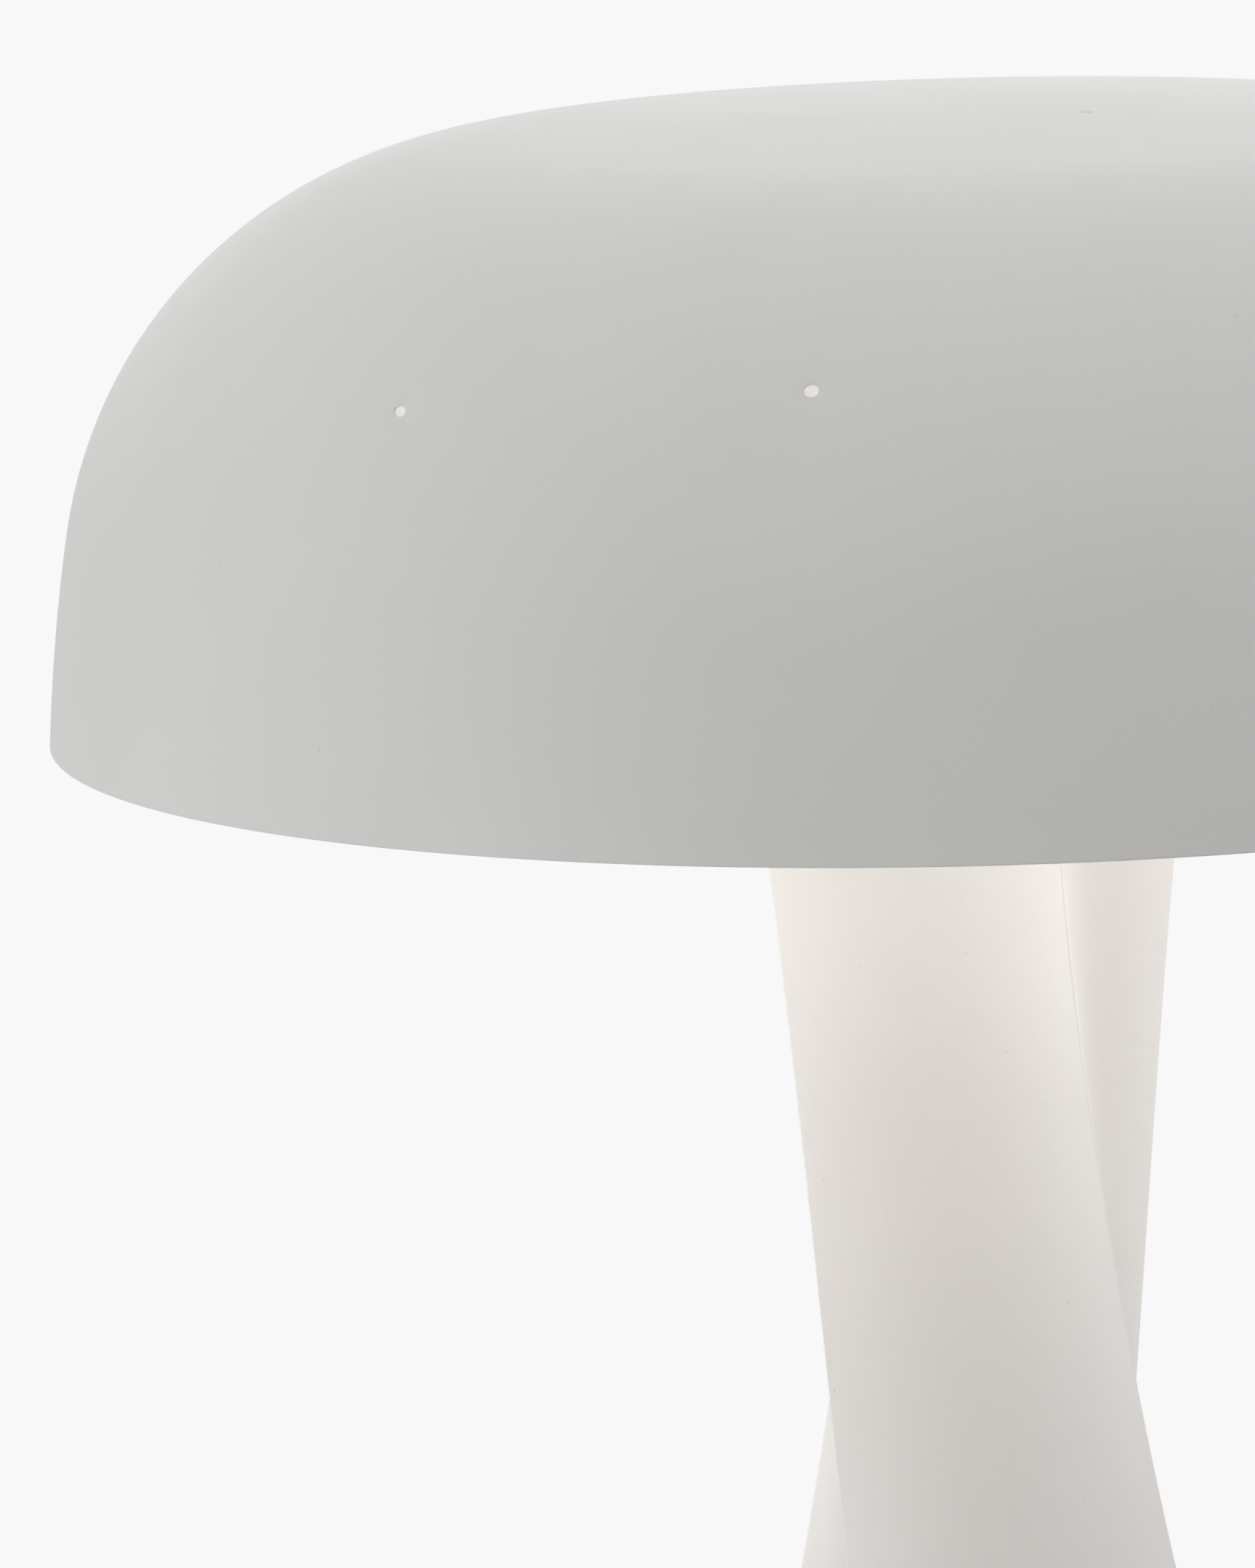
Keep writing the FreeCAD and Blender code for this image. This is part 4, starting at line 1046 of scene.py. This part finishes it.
hub_line = rounded([
    (TUBE_HOLE, LID_TOP), (HUB_RADIUS, LID_TOP), (HUB_RADIUS, HUB_TOP), (TUBE_HOLE, HUB_TOP),
], HUB_ROUND, closed=True)
points, faces = turned_ring(hub_line, steps=96)
piece("carrier_boss", points, faces, carrier_paint, "stand", ["carrier_hub"])

# %% [markdown]
# The lampholder is a cup on the tube, ribbed for grip, with a sleeve above it. The ribs could be cut into
# the cup's profile, but as one small bar, repeated about the axis by the same tree, their number is easy
# to change.

# %% Lampholder
HOLDER_ROUND = 0.5
NECK_RADIUS, NECK_TOP = 9.0, 297.0
CUP_RADIUS, CUP_BORE = 13.9, 12.5
CUP_LOW, CUP_FLOOR, CUP_TOP = 299.2, 301.5, 308.0
WELL_RADIUS, WELL_FLOOR = 9.5, 299.0
RIB_COUNT = 24
RIB_HALF_WIDTH = 0.55
RIB_ROOT, RIB_CREST = 13.7, 14.5
RIB_LOW, RIB_HIGH = 300.2, 307.2
RIB_SLOPE = 0.6
RIB_ROUND = 0.3
SLEEVE_RADIUS, SLEEVE_MOUTH, SLEEVE_TOP = 14.0, 9.0, 336.0
GROOVE_RADIUS, GROOVE_LOW, GROOVE_HIGH = 13.4, 310.0, 322.6
GROOVE_SLOPE = 0.6
cup_line = rounded([
    (TUBE_HOLE, HUB_TOP), (NECK_RADIUS, HUB_TOP), (NECK_RADIUS, NECK_TOP), (CUP_RADIUS, CUP_LOW),
    (CUP_RADIUS, CUP_TOP), (CUP_BORE, CUP_TOP), (CUP_BORE, CUP_FLOOR), (WELL_RADIUS, CUP_FLOOR),
    (WELL_RADIUS, WELL_FLOOR), (TUBE_HOLE, WELL_FLOOR),
], HOLDER_ROUND, closed=True)
rib_line = rounded([
    (RIB_ROOT, RIB_LOW), (RIB_CREST, RIB_LOW + RIB_SLOPE), (RIB_CREST, RIB_HIGH - RIB_SLOPE),
    (RIB_ROOT, RIB_HIGH),
], RIB_ROUND)
points = [(radius, side, height)
          for side in (-RIB_HALF_WIDTH, RIB_HALF_WIDTH) for radius, height in rib_line]
faces = stack_faces(2, len(rib_line))
ribs = grown(mesh_object("cup_ribs", points, faces), about_axis, Copies=RIB_COUNT, First=0.0,
             Material=holder_plastic)
points, faces = turned_ring(cup_line, steps=96)
piece("holder_cup", points, faces, holder_plastic, "stand", ["holder_cap"])
dress(ribs, holder_plastic, "stand", ["holder_cap"])
sleeve_line = rounded([
    (CUP_BORE, CUP_TOP), (SLEEVE_RADIUS, CUP_TOP), (SLEEVE_RADIUS, GROOVE_LOW),
    (GROOVE_RADIUS, GROOVE_LOW + GROOVE_SLOPE), (GROOVE_RADIUS, GROOVE_HIGH - GROOVE_SLOPE),
    (SLEEVE_RADIUS, GROOVE_HIGH), (SLEEVE_RADIUS, SLEEVE_TOP), (SLEEVE_MOUTH, SLEEVE_TOP),
    (SLEEVE_MOUTH, CORE_TOP), (CUP_BORE, CORE_TOP),
], HOLDER_ROUND, closed=True)
points, faces = turned_ring(sleeve_line, steps=96)
piece("holder_sleeve", points, faces, holder_plastic, "stand", ["holder_skirt"])

# %% [markdown]
# The bulb's cap is rolled into a right-hand thread. A Screw modifier needs a helper edge and leaves open
# ends, so the thread is a skin instead: its radius follows a wave that climbs by one pitch in each turn.
# The button and the tip under it are turned from their profiles.

# %% Bulb cap
PITCH = 2.822
SHELL_LOW, SHELL_HIGH = BULB_TIP + 4.0, BULB_TIP + 20.5
SHELL_END, SHELL_ROOT = 5.25, 6.25
THREAD_DEPTH = 0.7
THREAD_TAPER = 1.8
SHELL_STEPS = 64
SHELL_ROWS = 72
BUTTON_RADIUS, BUTTON_ROUND = 5.2, 0.5
TIP_TOP = BULB_TIP + 1.2
TIP_END, TIP_RADIUS, TIP_ROUND = 1.7, 2.5, 0.6


def thread_rule(across, height):
    """Point of the rolled cap for a part of a turn and a height."""
    low_taper = min(1.0, max(0.0, (height - SHELL_LOW) / THREAD_TAPER))
    high_taper = min(1.0, max(0.0, (SHELL_HIGH - height) / THREAD_TAPER))
    wave = 0.5 - 0.5 * math.cos(FULL_TURN * ((height - SHELL_LOW) / PITCH - across))
    base = SHELL_END + (SHELL_ROOT - SHELL_END) * low_taper
    radius = base + THREAD_DEPTH * wave * low_taper * high_taper
    angle = FULL_TURN * across
    return (radius * math.cos(angle), radius * math.sin(angle), height)


points, faces, _ = skin(thread_rule, [k / SHELL_STEPS for k in range(SHELL_STEPS)],
                        list(np.linspace(SHELL_LOW, SHELL_HIGH, SHELL_ROWS)))
faces += [list(range(SHELL_STEPS)), list(range(len(points) - SHELL_STEPS, len(points)))]
piece("bulb_thread", points, faces, cap_metal, "bulb", ["bulb_screw_shell"])
button_line = rounded([(0, TIP_TOP), (TIP_RADIUS, TIP_TOP), (BUTTON_RADIUS, SHELL_LOW), (0, SHELL_LOW)],
                      BUTTON_ROUND)
points, faces = lathe(button_line, steps=48)
piece("bulb_button", points, faces, button_plastic, "bulb", ["bulb_insulator"])
tip_line = rounded([(0, BULB_TIP), (TIP_END, BULB_TIP), (TIP_RADIUS, TIP_TOP), (0, TIP_TOP)], TIP_ROUND)
points, faces = lathe(tip_line, steps=40)
piece("bulb_contact", points, faces, cap_metal, "bulb_tip", ["bulb_tip"])

# %% [markdown]
# Above the cap, a plastic housing widens to the globe. Both are turned. A ready-made sphere could stand
# for the globe, but it would reach down into the housing, so the globe is an arc that starts on the
# housing's top.

# %% Bulb housing and globe
# Outline of the housing: radius and height above the bulb's tip
HOUSING_OUTLINE = (
    (0, 20.5), (6.9, 20.5), (6.9, 22.5), (8.5, 22.6), (10.6, 26.0),
    (13.2, 31.0), (15.6, 36.0), (16.9, 40.2), (16.9, 41.0), (0, 41.0),
)
HOUSING_ROUND = 1.0
GLOBE_RADIUS = 22.5
GLOBE_ROWS = 32
BULB_LENGTH = 78.0
housing_line = [(radius, BULB_TIP + height) for radius, height in rounded(HOUSING_OUTLINE, HOUSING_ROUND)]
points, faces = lathe(housing_line, steps=72)
piece("bulb_collar", points, faces, bulb_plastic, "bulb", ["bulb_housing"])
globe_middle = BULB_TIP + BULB_LENGTH - GLOBE_RADIUS
globe_low = math.asin((globe_middle - HOUSING_TOP) / GLOBE_RADIUS)
globe_line = [(GLOBE_RADIUS * math.cos(angle), globe_middle + GLOBE_RADIUS * math.sin(angle))
              for angle in np.linspace(-globe_low, math.pi / 2, GLOBE_ROWS)]
globe_line[-1] = (0.0, globe_line[-1][1])
points, faces = lathe([(0.0, HOUSING_TOP)] + globe_line, steps=64)
piece("bulb_opal", points, faces, opal_glass, "bulb", ["bulb_globe"])

# %% [markdown]
# The pieces inside the foot, the stem, the lampholder and the bulb hardly show, even with the bulb taken
# out. They could be made again like the others, but nobody would see finer edges on them, so they keep
# their construction meshes and only get their materials.

# %% Hidden pieces
hidden = (
    (zinc_steel, ("base_nut", "base_washer", "threaded_tube", "cap_set_screw", "terminal_screws")),
    (holder_plastic, ("holder_core",)),
    (brass, ("shell_contact", "centre_contact")),
    (board_metal, ("bulb_board",)),
)
for material, names in hidden:
    for name in names:
        nodes[name].data.materials.clear()
        nodes[name].data.materials.append(material)
    print(material.name, "on", len(names), "hidden pieces")

# %% [markdown]
# The lamp stands on a pale floor whose paint fades out round it, so that its shadow stays and the far
# floor runs into the white surroundings. Brighter lamps would also whiten the background, but they would
# bleach the paint, so the world is white only to the camera, to mirrors and to glass, and sheds no light
# of its own.

# %% Floor and surroundings
# Half width of the floor and the reach over which it fades, in metres
FLOOR_HALF = 4.0
FADE_START, FADE_END = 0.30, 0.55
FLOOR_COLOUR = (0.86, 0.86, 0.86, 1)
FLOOR_ROUGHNESS = 0.9
PALE = 0.9387
corners = [(FLOOR_HALF * x, FLOOR_HALF * y, 0) for x, y in ((-1, -1), (1, -1), (1, 1), (-1, 1))]
mesh = bpy.data.meshes.new("floor")
mesh.from_pydata(corners, [], [(0, 1, 2, 3)])
floor = bpy.data.objects.new("floor", mesh)
bpy.context.scene.collection.objects.link(floor)
floor_paint, surface, place = new_material("floor_paint")
reach = place.node("ShaderNodeVectorMath", {"operation": "LENGTH"}, {"Vector": place}, output=1)
place.feed(surface, {"Base Color": FLOOR_COLOUR, "Roughness": FLOOR_ROUGHNESS, "Specular IOR Level": 0.0,
                     "Alpha": 1.0 - reach.above(FADE_START, FADE_END)})
floor.data.materials.append(floor_paint)

world = bpy.data.worlds.new("surroundings")
bpy.context.scene.world = world
world.use_nodes = True
tree = world.node_tree
tree.nodes.clear()
rays = tree.nodes.new("ShaderNodeLightPath")
seen = Wire(tree, rays.outputs["Is Camera Ray"])
for kind in ("Is Glossy Ray", "Is Transmission Ray"):
    seen = seen.math("MAXIMUM", seen, Wire(tree, rays.outputs[kind]))
white = seen.node("ShaderNodeBackground", {}, {"Color": (PALE, PALE, PALE, 1)})
unlit = seen.node("ShaderNodeBackground", {}, {"Strength": 0.0})
choice = seen.node("ShaderNodeMixShader", {}, {0: seen, 1: unlit, 2: white})
choice.feed(tree.nodes.new("ShaderNodeOutputWorld"), {"Surface": choice})
print("floor and white surroundings")

# %% [markdown]
# Soft studio light comes from above and from all sides, with the camera's own side the darkest. A single
# lamp would draw hard edges on the smooth dome, so the light is split over wide square panels. A last,
# warm one lies flat under the shade and stands for the glow that the lit dome throws down past the stem.

# %% Lights
# Panels, in metres, and the bearing of the picture's right-hand side
PANEL_SIZE = 1.3
PANEL_DISTANCE = 1.7
VIEW = math.radians(-30.6)
LAMP_MIDDLE = Vector((0, 0, RIM * MM))
# Direction in the picture, as right, away and up, and watts
PANELS = {
    "light_above": ((0.0, 0.0, 1.0), 6.8),
    "light_above_back": ((0.0, 1.0, 1.0), 14.4),
    "light_above_front": ((0.0, -1.0, 1.0), 5.5),
    "light_back": ((0.0, 1.0, 0.1), 8.2),
    "light_left_front": ((-1.0, -1.0, 0.2), 10.0),
    "light_low_left": ((-1.0, 0.0, -0.14), 11.2),
    "light_right": ((1.0, 0.0, 0.15), 9.9),
    "light_right_front": ((1.0, -1.0, 0.2), 5.6),
}
GLOW_DROP = 15.5
GLOW_COLOUR = (1.0, 0.95, 0.905)
GLOW_POWER = 0.22


def area_light(name, shape, size, power):
    """Light panel that the camera doesn't see, facing down."""
    light = bpy.data.lights.new(name, "AREA")
    light.shape = shape
    light.size = size
    light.energy = power
    holder = bpy.data.objects.new(name, light)
    holder.visible_camera = False
    bpy.context.scene.collection.objects.link(holder)
    print(name, power, "W")
    return holder


for name, (direction, power) in PANELS.items():
    toward = Matrix.Rotation(VIEW, 3, "Z") @ Vector(direction)
    panel = area_light(name, "SQUARE", PANEL_SIZE, power)
    panel.location = LAMP_MIDDLE + toward.normalized() * PANEL_DISTANCE
    panel.rotation_euler = (-toward).to_track_quat("-Z", "Y").to_euler()
glow = area_light("dome_glow", "DISK", 2 * (SHADE_RADIUS - LIP) * MM, GLOW_POWER)
glow.data.color = GLOW_COLOUR
glow.location = (0, 0, (RIM - GLOW_DROP) * MM)

# %% [markdown]
# The camera stands where the photograph was taken from, a little above the rim and some way back, and is
# rolled by under two degrees. It could be aimed at the lamp by a constraint, but the photograph shows
# only a part of the lamp, so the camera's place and its three angles were worked out from the outline of
# the shade.

# %% Camera
CAMERA_PLACE = Vector((-932.384, -1576.451, 582.964)) * MM
CAMERA_BEARING = math.radians(28.6062)
CAMERA_DIP = math.radians(9.1381)
CAMERA_ROLL = math.radians(-1.7432)
camera = bpy.data.cameras.new("photo_camera")
camera.lens = 230.02
camera.sensor_width = 36.0
camera.dof.use_dof = False
holder = bpy.data.objects.new("photo_camera", camera)
aim = Matrix.Rotation(-CAMERA_BEARING, 4, "Z") @ Matrix.Rotation(math.pi / 2 - CAMERA_DIP, 4, "X")
holder.matrix_world = Matrix.Translation(CAMERA_PLACE) @ aim @ Matrix.Rotation(CAMERA_ROLL, 4, "Z")
bpy.context.scene.collection.objects.link(holder)
bpy.context.scene.camera = holder
bpy.context.scene.view_settings.view_transform = "Standard"
print("camera at", [round(c, 3) for c in holder.location])
